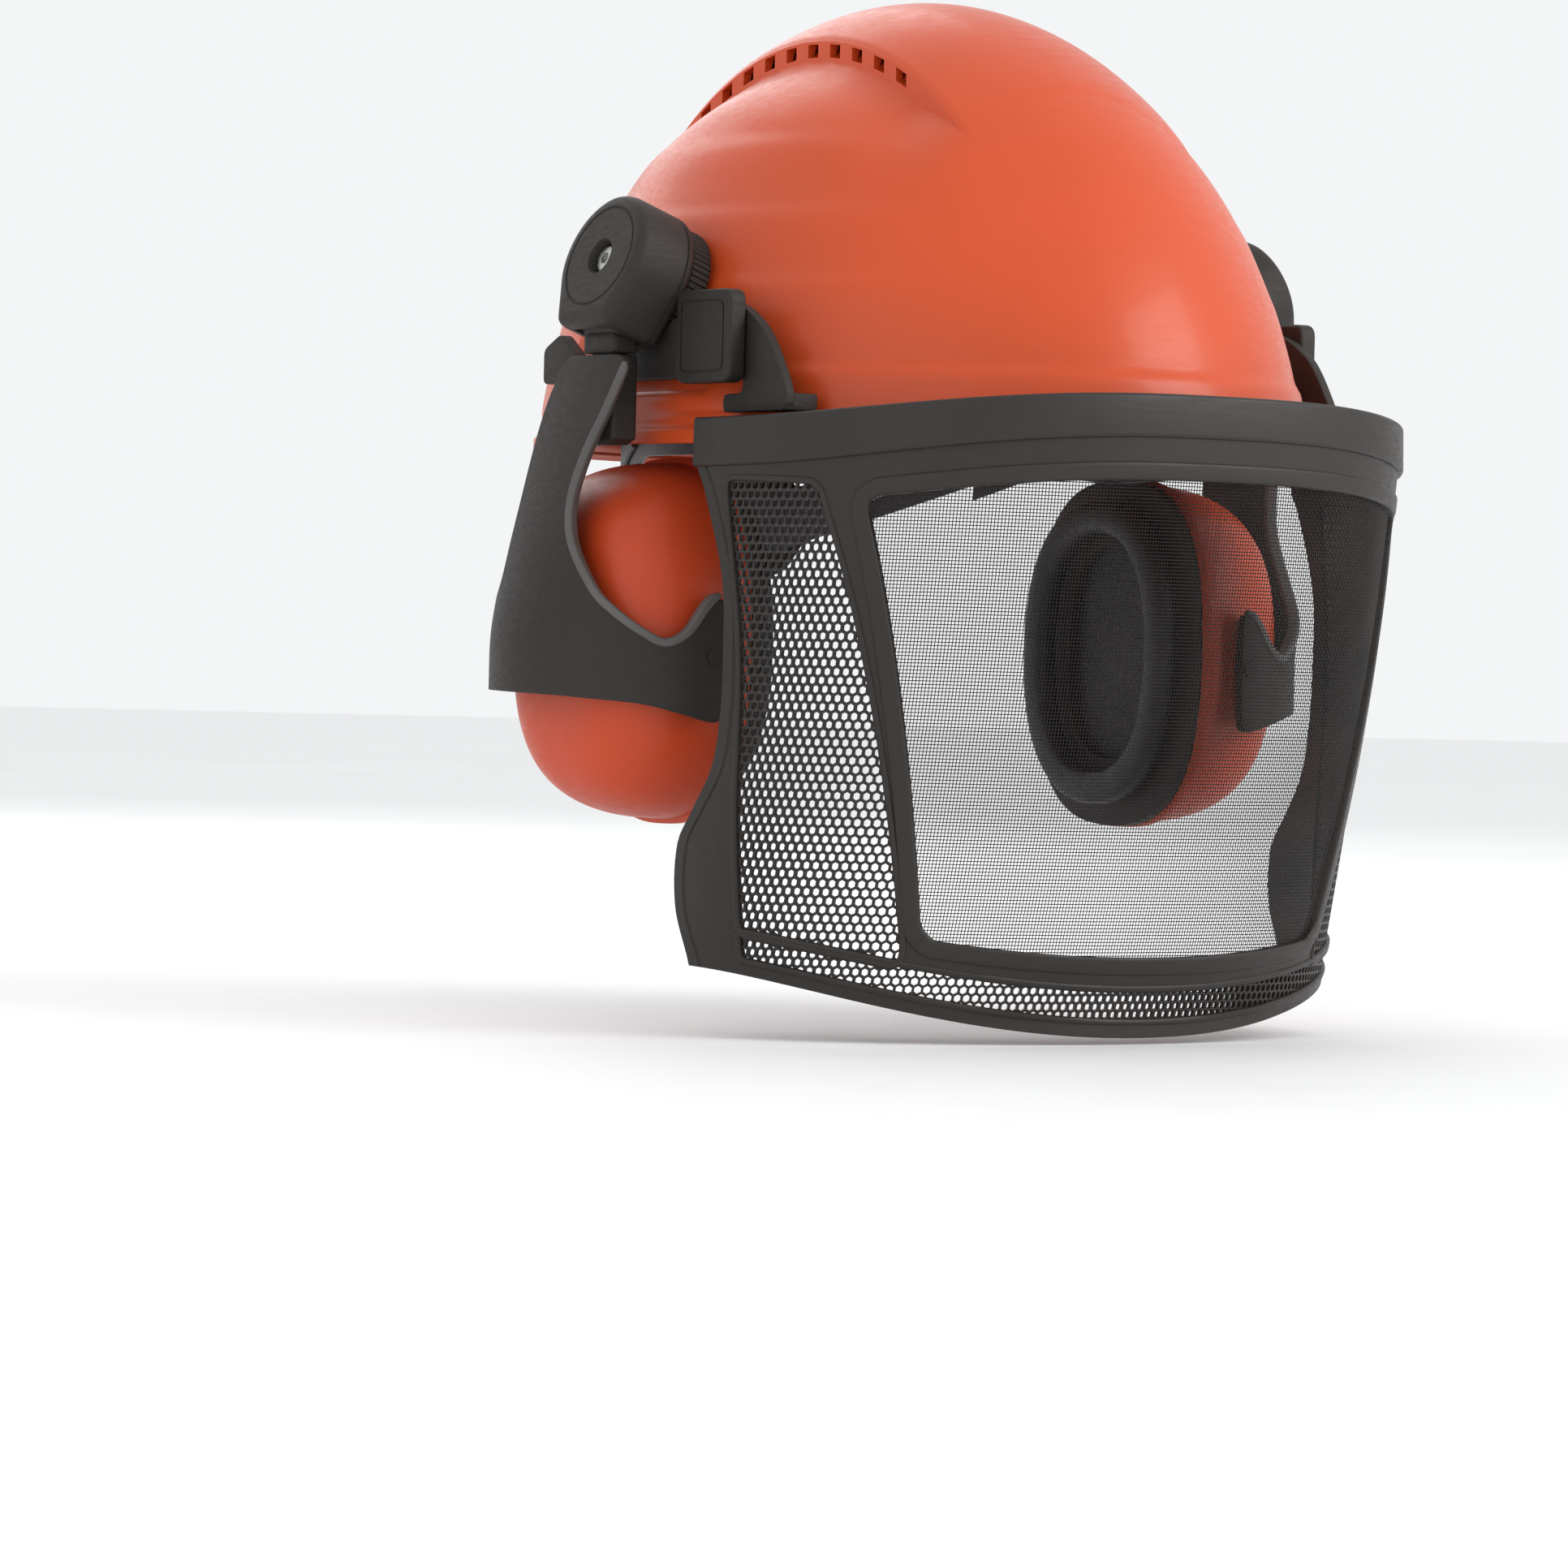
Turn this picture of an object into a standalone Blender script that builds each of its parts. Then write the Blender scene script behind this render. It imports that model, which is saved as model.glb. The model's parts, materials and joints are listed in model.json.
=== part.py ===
"""Forestry helmet: hard shell with harness, lift-up mesh visor and two swinging ear muffs.

Lengths are in millimetres and become metres when a mesh is made. The origin is at the
middle of the wearer's head, on the helmet's axis: -Y is forward, +X is the wearer's left
and +Z is up. SIDE is -1 for the wearer's right and +1 for the left, and a distance called
"out" is measured from the middle plane towards that side.
"""
import math

import bmesh
import bpy
from mathutils import Matrix, Vector

MM = 0.001
GAP = 0.3
SIDES = (("right", -1), ("left", 1))

# Shell: an egg-shaped dome over an elliptical rim
SHELL_HALF_LENGTH = 134.0
SHELL_HALF_WIDTH = 104.0
SHELL_HEIGHT = 131.0
SHELL_WALL = 2.8
DOME_POWER = 1.6
RIM_Z = -6.0
RIM_FLARE = 2.0
VENT_COUNT = 10
VENT_FIRST_Y = -46.0
VENT_STEP = 11.3
VENT_OUT = 41.0
VENT_SIZE = (7.0, 5.0)
VENT_CUT_HEIGHT = 60.0
VENT_CUT_MIDDLE = 105.0

# Harness
BAND_HALF_WIDTH = 79.0
BAND_HALF_LENGTH = 99.0
BAND_THICKNESS = 1.6
HEADBAND_END = 125
SWEATBAND_END = 62
SWEATBAND_THICKNESS = 3.5
SWEATBAND_EDGE = 1.0
NAPE_ENDS = (114, 246)
NAPE_LIFT = 5.0
NAPE_DROP = 4.0
NAPE_Z = -24.0
CASE_ENDS = (160, 200)
CASE_DEPTH = 10.5
CASE_HALF_HEIGHT = 17.0
STRAP_REACH = 97.0
STRAP_FOOT_Z = 5.0
STRAP_TOP_Z = 84.0
STRAP_WIDTH = 22.0
STRAP_THICKNESS = 1.4
STRAP_FULLNESS = 2.4
CROWN_PAD_RADII = (8.0, 20.0, 32.0, 42.0)
CROWN_PAD_DROP = 1.6
CROWN_PAD_THICKNESS = 4.0
KNOB_RADIUS = 15.0
KNOB_DEPTH = (10.9, 22.0)
KNOB_SHAFT_RADIUS = 5.0
KNOB_SHAFT_DEPTH = (0.6, 14.0)
CLIP_SIZE = (18.0, 8.0, 18.0)
CLIP_REACH = 102.6
CLIP_ANGLES = {"front_right": -45, "front_left": 45, "rear_left": 135, "rear_right": 225}

# Visor: a curved frame below a brim, hung on two arms
VISOR_AXIS_Y = -44.0
VISOR_AXIS_Z = 24.5
VISOR_HALF_WIDTH = 112.0
VISOR_BACK_Y = -39.0
VISOR_REACH_TOP = 111.0
VISOR_REACH_LOSS = 33.0
VISOR_DROP = 170.0
FRAME_WALL = 2.6
MESH_WALL = 0.8
MESH_DEPTH = 0.9
GRILLE_WALL = 1.4
GRILLE_DEPTH = 0.6
BRIM_WALL = 3.0
BRIM_FLANGE = 2.5
BRIM_CLEARANCE = 4.5
BRIM_END = 88.5
BRIM_PROUD = 0.8
ARM_OUT = (99.3, 102.5)
FOOT_Z = (2.6, 7.9)
BRACKET_OUT = (103.6, 107.6)
BLOCK_OUT = (102.8, 108.8)
BLOCK_EDGE = 2.5
BLOCK_Y = (-58.0, -30.2)
BLOCK_Z = (11.0, 38.0)
VISOR_PIN_RADIUS = 2.6
VISOR_PIN_START = 97.4
VISOR_PIN_DEPTH = 3.0
PIN_CLEARANCE = 0.4

# Ear-muff hub, with its axis square to the shell's side
HUB_Y = -10.5
HUB_Z = 38.5
HUB_TILT = math.radians(20.0)
HUB_RADIUS = 20.0
HUB_FLAT = -21.0
HUB_CORNER = 13.0
BOSS_RADIUS = 18.5
BOSS_DEPTH = (1.2, 8.0)
BOSS_BORE = (4.0, 12.0)
HOUSING_DEPTH = (8.4, 28.4)
HOUSING_EDGE = 1.2
SLOT_DEPTH = (12.0, 23.4)
SLOT_HALF_WIDTH = 9.3
SLOT_TOP = -11.0
SLOT_FLOOR = -30.0
RECESS_DEPTH = 21.9
RECESS_RADIUS = 5.2
THROUGH = 40.0
FOLD_DROP = 17.0
FOLD_DEPTH = 17.4
FOLD_PIN_RADIUS = 1.5
FOLD_PIN_HALF = 12.4
BARREL_RADIUS = 4.5
BARREL_HALF = 8.8
TONGUE = (2.0, 6.5, 31.0)
NECK = (4.5, 8.7)
NECK_Z = (-7.0, 19.5)
NECK_POCKET_FLOOR = 2.5
NECK_POCKET_SLACK = 0.35
SCREW_RADIUS = 2.5
SCREW_SHANK = (4.6, 24.0)
SCREW_HEAD = (23.5, 26.5)
SCREW_HEAD_RADIUS = 4.6
WASHER_RADIUS = 4.8
WASHER_THICKNESS = 1.0
HOLE_CLEARANCE = 0.3

# Ear muff: the arm wraps the cup as an elliptical band
CUP_Y = 3.6
CUP_Z = -63.5
CUP_HALF_WIDTH = 40.5
CUP_HALF_HEIGHT = 53.5
CUP_OUT = (84.0, 125.8)
CUP_WALL = 2.6
CUP_POWER = 2.6
BAND_CENTRE_OUT = 100.0
WRAP_OUT = 40.0
WRAP_HALF_LENGTH = 45.0
MUFF_ARM_WALL = 3.2
PIVOT_Z = -68.0
PIVOT_PIN_RADIUS = 2.5
CUP_PIN_REACH = (37.8, 45.2)
PLATE_OUT = (80.5, 83.7)
PLATE_HOLE = (22.0, 33.0)
CUSHION_OUT = (70.0, 80.2)
CUSHION_HOLE = (24.5, 36.0)
CUSHION_WIDTH = 12.0
CUSHION_EDGE = 2.5
FOAM_OUT = (86.0, 106.0)
FOAM_SIZE = (33.0, 44.0)

ORANGE = ((0.63, 0.105, 0.035), 0.35, 0.0)
CUP_ORANGE = ((0.55, 0.08, 0.03), 0.38, 0.0)
BLACK = ((0.045, 0.042, 0.038), 0.55, 0.0)
GREY_BLACK = ((0.06, 0.055, 0.05), 0.5, 0.0)
STEEL = ((0.6, 0.6, 0.58), 0.3, 1.0)
FOAM = ((0.08, 0.08, 0.085), 0.95, 0.0)
WEBBING = ((0.03, 0.03, 0.032), 0.9, 0.0)

for old in list(bpy.data.objects):
    bpy.data.objects.remove(old, do_unlink=True)

helmet = bpy.data.collections.new("forestry_helmet")
cutters = bpy.data.collections.new("cutters")
bpy.context.scene.collection.children.link(helmet)
bpy.context.scene.collection.children.link(cutters)


# ---------------------------------------------------------------- making objects

def finish_material(name, finish):
    """A Principled material with the finish's colour, roughness and metallic value."""
    colour, roughness, metallic = finish
    material = bpy.data.materials.new(name)
    material.use_nodes = True
    shader = material.node_tree.nodes["Principled BSDF"]
    shader.inputs["Base Color"].default_value = (*colour, 1.0)
    shader.inputs["Roughness"].default_value = roughness
    shader.inputs["Metallic"].default_value = metallic
    return material


def add_object(name, bm, finish=None, smooth=40.0):
    """Turn a millimetre bmesh into an object; one without a finish is a cutter."""
    bmesh.ops.scale(bm, vec=(MM, MM, MM), verts=bm.verts)
    mesh = bpy.data.meshes.new(name)
    bm.to_mesh(mesh)
    bm.free()
    mesh.shade_smooth()
    mesh.set_sharp_from_angle(angle=math.radians(smooth))
    piece = bpy.data.objects.new(name, mesh)
    if finish is None:
        cutters.objects.link(piece)
        piece.hide_render = True
        piece.display_type = "WIRE"
    else:
        helmet.objects.link(piece)
        mesh.materials.append(finish_material(name, finish))
    return piece


def box(name, low, high, finish=None):
    bm = bmesh.new()
    bmesh.ops.create_cube(bm, size=1.0)
    low, high = Vector(low), Vector(high)
    bmesh.ops.scale(bm, vec=high - low, verts=bm.verts)
    bmesh.ops.translate(bm, vec=(low + high) / 2, verts=bm.verts)
    return add_object(name, bm, finish)


def side_box(name, side, out, y, z, finish=None):
    """A box given by its distances out from the middle plane."""
    xs = sorted((side * out[0], side * out[1]))
    return box(name, (xs[0], y[0], z[0]), (xs[1], y[1], z[1]), finish)


def cylinder(name, start, end, radius, finish=None, segments=24):
    start, end = Vector(start), Vector(end)
    bm = bmesh.new()
    bmesh.ops.create_cone(bm, cap_ends=True, segments=segments, radius1=radius,
                          radius2=radius, depth=(end - start).length)
    turn = Vector((0, 0, 1)).rotation_difference(end - start).to_matrix()
    bmesh.ops.rotate(bm, matrix=turn, verts=bm.verts)
    bmesh.ops.translate(bm, vec=(start + end) / 2, verts=bm.verts)
    return add_object(name, bm, finish)


def loft_into(bm, sections, closed):
    """Quads between matching loops; open lofts get a cap at each end."""
    loops = [[bm.verts.new(point) for point in section] for section in sections]
    count = len(loops[0])
    pairs = list(zip(loops, loops[1:]))
    if closed:
        pairs.append((loops[-1], loops[0]))
    for first, second in pairs:
        for i in range(count):
            j = (i + 1) % count
            bm.faces.new((first[i], first[j], second[j], second[i]))
    if not closed:
        bm.faces.new(loops[0][::-1])
        bm.faces.new(loops[-1])


def loft(name, sections, finish=None, closed=False, smooth=40.0):
    bm = bmesh.new()
    loft_into(bm, sections, closed)
    bmesh.ops.recalc_face_normals(bm, faces=bm.faces)
    return add_object(name, bm, finish, smooth)


def sheet(name, columns, rows, point, finish, keep=None, wrap=False, flip=False):
    """An open surface of quads; keep(column, row) says which of them exist."""
    bm = bmesh.new()
    grid = {}
    faces_across = columns if wrap else columns - 1
    for i in range(faces_across):
        for j in range(rows - 1):
            if keep is not None and not keep(i, j):
                continue
            corners = [(i, j), ((i + 1) % columns, j), ((i + 1) % columns, j + 1), (i, j + 1)]
            for corner in corners:
                if corner not in grid:
                    grid[corner] = bm.verts.new(point(*corner))
            loop = [grid[corner] for corner in corners]
            bm.faces.new(loop[::-1] if flip else loop)
    return add_object(name, bm, finish)


def solidify(piece, wall):
    """Give an open surface its wall, inward from the outer face."""
    thick = piece.modifiers.new("wall", "SOLIDIFY")
    thick.thickness = wall * MM
    thick.offset = -1.0
    thick.use_even_offset = True
    thick.use_quality_normals = True
    return piece


def bevel(piece, width, segments=2):
    edge = piece.modifiers.new("edge", "BEVEL")
    edge.width = width * MM
    edge.segments = segments
    edge.limit_method = "ANGLE"
    edge.angle_limit = math.radians(50.0)
    return piece


def combine(piece, other, operation):
    joined = piece.modifiers.new(operation.lower(), "BOOLEAN")
    joined.operation = operation
    joined.object = other
    return piece


def cut(piece, cutter):
    return combine(piece, cutter, "DIFFERENCE")


def fuse(piece, other):
    return combine(piece, other, "UNION")


def smoothstep(low, high, value):
    t = min(1.0, max(0.0, (value - low) / (high - low)))
    return t * t * (3.0 - 2.0 * t)


def between(table, value):
    """Linear interpolation in a short list of (position, result) pairs."""
    for (a, first), (b, second) in zip(table, table[1:]):
        if value <= b or b == table[-1][0]:
            t = min(1.0, max(0.0, (value - a) / (b - a)))
            return first + (second - first) * t
    return table[-1][1]


def superellipse(angle, half_width, half_height, power):
    c, s = math.cos(angle), math.sin(angle)
    return (half_width * math.copysign(abs(c) ** (2.0 / power), c),
            half_height * math.copysign(abs(s) ** (2.0 / power), s))


# ---------------------------------------------------------------- shell

def dome_scale(z):
    """How much of the rim's ellipse is left at height z."""
    return math.sqrt(max(0.0, 1.0 - (max(z, 0.0) / SHELL_HEIGHT) ** DOME_POWER))


def shell_out(y, z):
    """Distance of the shell's side surface from the middle plane."""
    scale = dome_scale(z)
    return SHELL_HALF_WIDTH * scale * math.sqrt(1.0 - (y / (SHELL_HALF_LENGTH * scale)) ** 2)


def make_shell():
    columns = 48
    dome_rows = 12
    rim = [(RIM_Z, RIM_FLARE), (RIM_Z + 4.0, RIM_FLARE), (RIM_Z + 6.5, 0.0)]

    def point(i, j):
        angle = 2.0 * math.pi * i / columns
        if j < len(rim):
            z, flare = rim[j]
            scale = 1.0
        else:
            rise = math.radians(90.0) * (j - len(rim) + 1) / dome_rows
            z = SHELL_HEIGHT * math.sin(rise) ** (2.0 / DOME_POWER)
            scale = math.cos(rise)
            flare = 0.0
        x = (SHELL_HALF_WIDTH * scale + flare) * math.sin(angle)
        y = -(SHELL_HALF_LENGTH * scale + flare) * math.cos(angle)
        return (x, y, z)

    rows = len(rim) + dome_rows - 1
    bm = bmesh.new()
    grid = [[bm.verts.new(point(i, j)) for i in range(columns)] for j in range(rows)]
    top = bm.verts.new((0.0, 0.0, SHELL_HEIGHT))
    for lower, upper in zip(grid, grid[1:]):
        for i in range(columns):
            j = (i + 1) % columns
            bm.faces.new((lower[i], lower[j], upper[j], upper[i]))
    for i in range(columns):
        bm.faces.new((grid[-1][i], grid[-1][(i + 1) % columns], top))
    shell = solidify(add_object("helmet_shell", bm, ORANGE, smooth=60.0), SHELL_WALL)

    slots = bmesh.new()
    for _, side in SIDES:
        for i in range(VENT_COUNT):
            y = VENT_FIRST_Y + VENT_STEP * i
            made = bmesh.ops.create_cube(slots, size=1.0)["verts"]
            bmesh.ops.scale(slots, vec=(*VENT_SIZE, VENT_CUT_HEIGHT), verts=made)
            bmesh.ops.translate(slots, vec=(side * VENT_OUT, y, VENT_CUT_MIDDLE),
                                verts=made)
    return cut(shell, add_object("vent_slots", slots))


# ---------------------------------------------------------------- harness

def band_section(angle, offset, thickness, low, high):
    """One rectangular section of a band round the head; 0 is the forehead."""
    points = []
    for grow, z in ((0, low), (thickness, low), (thickness, high), (0, high)):
        x = (BAND_HALF_WIDTH + offset + grow) * math.sin(angle)
        y = -(BAND_HALF_LENGTH + offset + grow) * math.cos(angle)
        points.append((x, y, z))
    return points


def band_arc(name, start, end, steps, offset, thickness, low, high, finish):
    sections = []
    for i in range(steps + 1):
        degrees = start + (end - start) * i / steps
        sections.append(band_section(math.radians(degrees), offset, thickness,
                                     low(degrees), high(degrees)))
    return loft(name, sections, finish)


def band_low(degrees):
    return between([(0, -14), (60, -8), (110, -8), (165, -38), (195, -38)], abs(degrees))


def band_high(degrees):
    return between([(0, 16), (60, 12), (110, 12), (165, -10), (195, -10)], abs(degrees))


def strap_height(reach, top):
    """Height of a crown strap at this distance from the helmet's axis."""
    share = min(1.0, abs(reach) / STRAP_REACH)
    return STRAP_FOOT_Z + (top - STRAP_FOOT_Z) * math.sqrt(1.0 - share ** STRAP_FULLNESS)


def make_crown_strap(name, degrees, top):
    heading = Vector((math.sin(math.radians(degrees)), -math.cos(math.radians(degrees)), 0))
    across = Vector((-heading.y, heading.x, 0)) * (STRAP_WIDTH / 2)
    steps = 22
    path = []
    for i in range(steps + 1):
        reach = STRAP_REACH * math.cos(math.pi * i / steps)
        path.append(heading * reach + Vector((0, 0, strap_height(reach, top))))
    sections = []
    for i, here in enumerate(path):
        along = (path[min(i + 1, steps)] - path[max(i - 1, 0)]).normalized()
        lift = across.normalized().cross(along) * (STRAP_THICKNESS / 2)
        if lift.z < 0:
            lift = -lift
        sections.append([here - across - lift, here + across - lift,
                         here + across + lift, here - across + lift])
    return loft(name, sections, WEBBING)


def make_crown_pad():
    """A round pad that follows the underside of the crossing straps."""
    segments = 24
    bm = bmesh.new()
    rings = []
    for radius in CROWN_PAD_RADII:
        z = strap_height(radius, STRAP_TOP_Z) - CROWN_PAD_DROP
        rings.append([bm.verts.new((radius * math.cos(a), radius * math.sin(a), z))
                      for a in (2 * math.pi * i / segments for i in range(segments))])
    top = bm.verts.new((0, 0, STRAP_TOP_Z - CROWN_PAD_DROP))
    for i in range(segments):
        j = (i + 1) % segments
        bm.faces.new((top, rings[0][i], rings[0][j]))
        for inner, outer in zip(rings, rings[1:]):
            bm.faces.new((inner[i], outer[i], outer[j], inner[j]))
    solidify(add_object("crown_pad", bm, FOAM), CROWN_PAD_THICKNESS)


def make_harness():
    band_arc("headband", -HEADBAND_END, HEADBAND_END, 36, 0.0, BAND_THICKNESS, band_low,
             band_high, GREY_BLACK)
    band_arc("sweatband", -SWEATBAND_END, SWEATBAND_END, 18, -SWEATBAND_THICKNESS - GAP,
             SWEATBAND_THICKNESS, lambda a: band_low(a) - SWEATBAND_EDGE,
             lambda a: band_high(a) + SWEATBAND_EDGE, FOAM)
    band_arc("nape_strap", *NAPE_ENDS, 20, BAND_THICKNESS + GAP, BAND_THICKNESS,
             lambda a: band_low(180 - abs(180 - a)) + NAPE_LIFT,
             lambda a: band_high(180 - abs(180 - a)) - NAPE_DROP, GREY_BLACK)
    housing_offset = 2 * BAND_THICKNESS + 2 * GAP
    housing = band_arc("ratchet_housing", *CASE_ENDS, 8, housing_offset, CASE_DEPTH,
                       lambda a: NAPE_Z - CASE_HALF_HEIGHT,
                       lambda a: NAPE_Z + CASE_HALF_HEIGHT, BLACK)
    back = BAND_HALF_LENGTH + housing_offset
    cut(housing, cylinder("knob_bore", (0, back - 5, NAPE_Z), (0, back + 20, NAPE_Z),
                          KNOB_SHAFT_RADIUS + HOLE_CLEARANCE))
    knob = cylinder("ratchet_knob", (0, back + KNOB_DEPTH[0], NAPE_Z),
                    (0, back + KNOB_DEPTH[1], NAPE_Z), KNOB_RADIUS, BLACK, segments=32)
    bevel(knob, 1.2)
    fuse(knob, cylinder("knob_shaft", (0, back + KNOB_SHAFT_DEPTH[0], NAPE_Z),
                        (0, back + KNOB_SHAFT_DEPTH[1], NAPE_Z), KNOB_SHAFT_RADIUS))
    make_crown_strap("crown_strap_front_right", -45, STRAP_TOP_Z)
    make_crown_strap("crown_strap_front_left", 45, STRAP_TOP_Z + 2 * STRAP_THICKNESS)
    make_crown_pad()
    for corner, degrees in CLIP_ANGLES.items():
        clip = bmesh.new()
        made = bmesh.ops.create_cube(clip, size=1.0)["verts"]
        bmesh.ops.scale(clip, vec=CLIP_SIZE, verts=made)
        bmesh.ops.translate(clip, vec=(0, -CLIP_REACH, STRAP_FOOT_Z), verts=made)
        bmesh.ops.rotate(clip, matrix=Matrix.Rotation(math.radians(degrees), 3, "Z"), verts=made)
        add_object("harness_clip_" + corner, clip, GREY_BLACK)


# ---------------------------------------------------------------- hub and bracket

class HubFrame:
    """The tilted hub: depth runs out along its axis, v runs up its face."""

    def __init__(self, side):
        self.side = side
        self.base = Vector((side * shell_out(HUB_Y, HUB_Z), HUB_Y, HUB_Z))
        self.axis = Vector((side * math.cos(HUB_TILT), 0, math.sin(HUB_TILT)))
        self.up = Vector((-side * math.sin(HUB_TILT), 0, math.cos(HUB_TILT)))

    def at(self, depth, forward=0.0, v=0.0):
        return self.base + self.axis * depth + self.up * v + Vector((0, -forward, 0))


def hub_outline(hub, depth, inset):
    """The D-shaped outline of the hub housing at one depth."""
    points = []
    steps = 20
    radius = HUB_RADIUS - inset
    for i in range(steps + 1):
        angle = math.radians(-50.0 + 280.0 * i / steps)
        points.append(hub.at(depth, radius * math.cos(angle), radius * math.sin(angle)))
    points.append(hub.at(depth, -HUB_CORNER + inset, HUB_FLAT + inset))
    points.append(hub.at(depth, HUB_CORNER - inset, HUB_FLAT + inset))
    return points


def make_bracket(label, side):
    hub = HubFrame(side)
    outline = [(42, 12.5), (42, 23), (33, 27.5), (22, 19.5), (8, 19.5), (2, 27), (-19, 27),
               (-29.6, 31), (-29.6, 12.5)]
    faces = [[(side * out, y, z) for y, z in outline] for out in BRACKET_OUT]
    bracket = loft("side_bracket_" + label, faces, BLACK)
    boss = cylinder("boss_" + label, hub.at(BOSS_DEPTH[0]), hub.at(BOSS_DEPTH[1]),
                    BOSS_RADIUS, segments=32)
    fuse(bracket, boss)
    cut(bracket, cylinder("boss_bore_" + label, hub.at(BOSS_BORE[0]), hub.at(BOSS_BORE[1]),
                          SCREW_RADIUS + HOLE_CLEARANCE))

    pin_end = BLOCK_OUT[0] + VISOR_PIN_DEPTH
    block = side_box("visor_block_" + label, side, BLOCK_OUT, BLOCK_Y, BLOCK_Z, BLACK)
    bevel(block, BLOCK_EDGE)
    cut(block, cylinder("block_bore_" + label,
                        (side * (BLOCK_OUT[0] - VISOR_PIN_DEPTH), VISOR_AXIS_Y, VISOR_AXIS_Z),
                        (side * (pin_end + GAP), VISOR_AXIS_Y, VISOR_AXIS_Z),
                        VISOR_PIN_RADIUS + HOLE_CLEARANCE))
    cylinder("visor_pin_" + label, (side * VISOR_PIN_START, VISOR_AXIS_Y, VISOR_AXIS_Z),
             (side * pin_end, VISOR_AXIS_Y, VISOR_AXIS_Z), VISOR_PIN_RADIUS, STEEL)


def make_hub(label, side):
    hub = HubFrame(side)
    inner, outer = HOUSING_DEPTH
    housing = loft("hub_housing_" + label,
                   [hub_outline(hub, inner, 0.0), hub_outline(hub, outer - HOUSING_EDGE, 0.0),
                    hub_outline(hub, outer, HOUSING_EDGE)], BLACK)
    slot = []
    for depth in SLOT_DEPTH:
        slot.append([hub.at(depth, f * SLOT_HALF_WIDTH, v)
                     for f, v in ((-1, SLOT_TOP), (1, SLOT_TOP), (1, SLOT_FLOOR), (-1, SLOT_FLOOR))])
    cut(housing, loft("hub_slot_" + label, slot))
    cut(housing, cylinder("hub_bore_" + label, hub.at(0), hub.at(THROUGH),
                          SCREW_RADIUS + HOLE_CLEARANCE))
    cut(housing, cylinder("hub_recess_" + label, hub.at(RECESS_DEPTH), hub.at(THROUGH),
                          RECESS_RADIUS))

    def across(half):
        """The two ends of a round piece of this half length on the fold axis."""
        return hub.at(FOLD_DEPTH, -half, -FOLD_DROP), hub.at(FOLD_DEPTH, half, -FOLD_DROP)

    cut(housing, cylinder("fold_bore_" + label, *across(THROUGH),
                          FOLD_PIN_RADIUS + HOLE_CLEARANCE, segments=16))

    screw = cylinder("hub_screw_" + label, hub.at(SCREW_SHANK[0]), hub.at(SCREW_SHANK[1]),
                     SCREW_RADIUS, STEEL)
    fuse(screw, cylinder("screw_head_" + label, hub.at(SCREW_HEAD[0]), hub.at(SCREW_HEAD[1]),
                         SCREW_HEAD_RADIUS))
    washer = cylinder("hub_washer_" + label, hub.at(RECESS_DEPTH + GAP),
                      hub.at(RECESS_DEPTH + GAP + WASHER_THICKNESS), WASHER_RADIUS, STEEL)
    cut(washer, cylinder("washer_bore_" + label, hub.at(0), hub.at(THROUGH),
                         SCREW_RADIUS + PIN_CLEARANCE))

    cylinder("fold_pin_" + label, *across(FOLD_PIN_HALF), FOLD_PIN_RADIUS, STEEL, segments=16)
    knuckle = cylinder("fold_knuckle_" + label, *across(BARREL_HALF), BARREL_RADIUS, BLACK)
    centre = hub.at(FOLD_DEPTH, 0, -FOLD_DROP)
    half, wide, drop = TONGUE
    fuse(knuckle, box("tongue_" + label,
                      (centre.x - half, HUB_Y - wide, centre.z - drop),
                      (centre.x + half, HUB_Y + wide, centre.z - 1.0)))
    cut(knuckle, cylinder("knuckle_bore_" + label, *across(THROUGH),
                          FOLD_PIN_RADIUS + HOLE_CLEARANCE, segments=16))


# ---------------------------------------------------------------- ear muff

def arm_surface(side, y, z):
    """The muff arm's outer surface: an elliptical wrap that leans in towards the hub."""
    lean = min(1.0, max(0.0, (z + 62.0) / 81.0))
    reach = WRAP_OUT - 15.0 * lean
    half = WRAP_HALF_LENGTH + 15.0 * lean
    middle = CUP_Y - 15.6 * lean
    share = min(1.0, abs(y - middle) / half)
    return Vector((side * (BAND_CENTRE_OUT + reach * math.sqrt(1.0 - share * share)), y, z))


def pivot_bore(name, side):
    """The cutter for the cup's swivel axis, from front to rear through arm and cup."""
    ends = [(side * BAND_CENTRE_OUT, CUP_Y + reach, PIVOT_Z) for reach in (-60.0, 60.0)]
    return cylinder(name, *ends, PIVOT_PIN_RADIUS + HOLE_CLEARANCE, segments=16)


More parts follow.
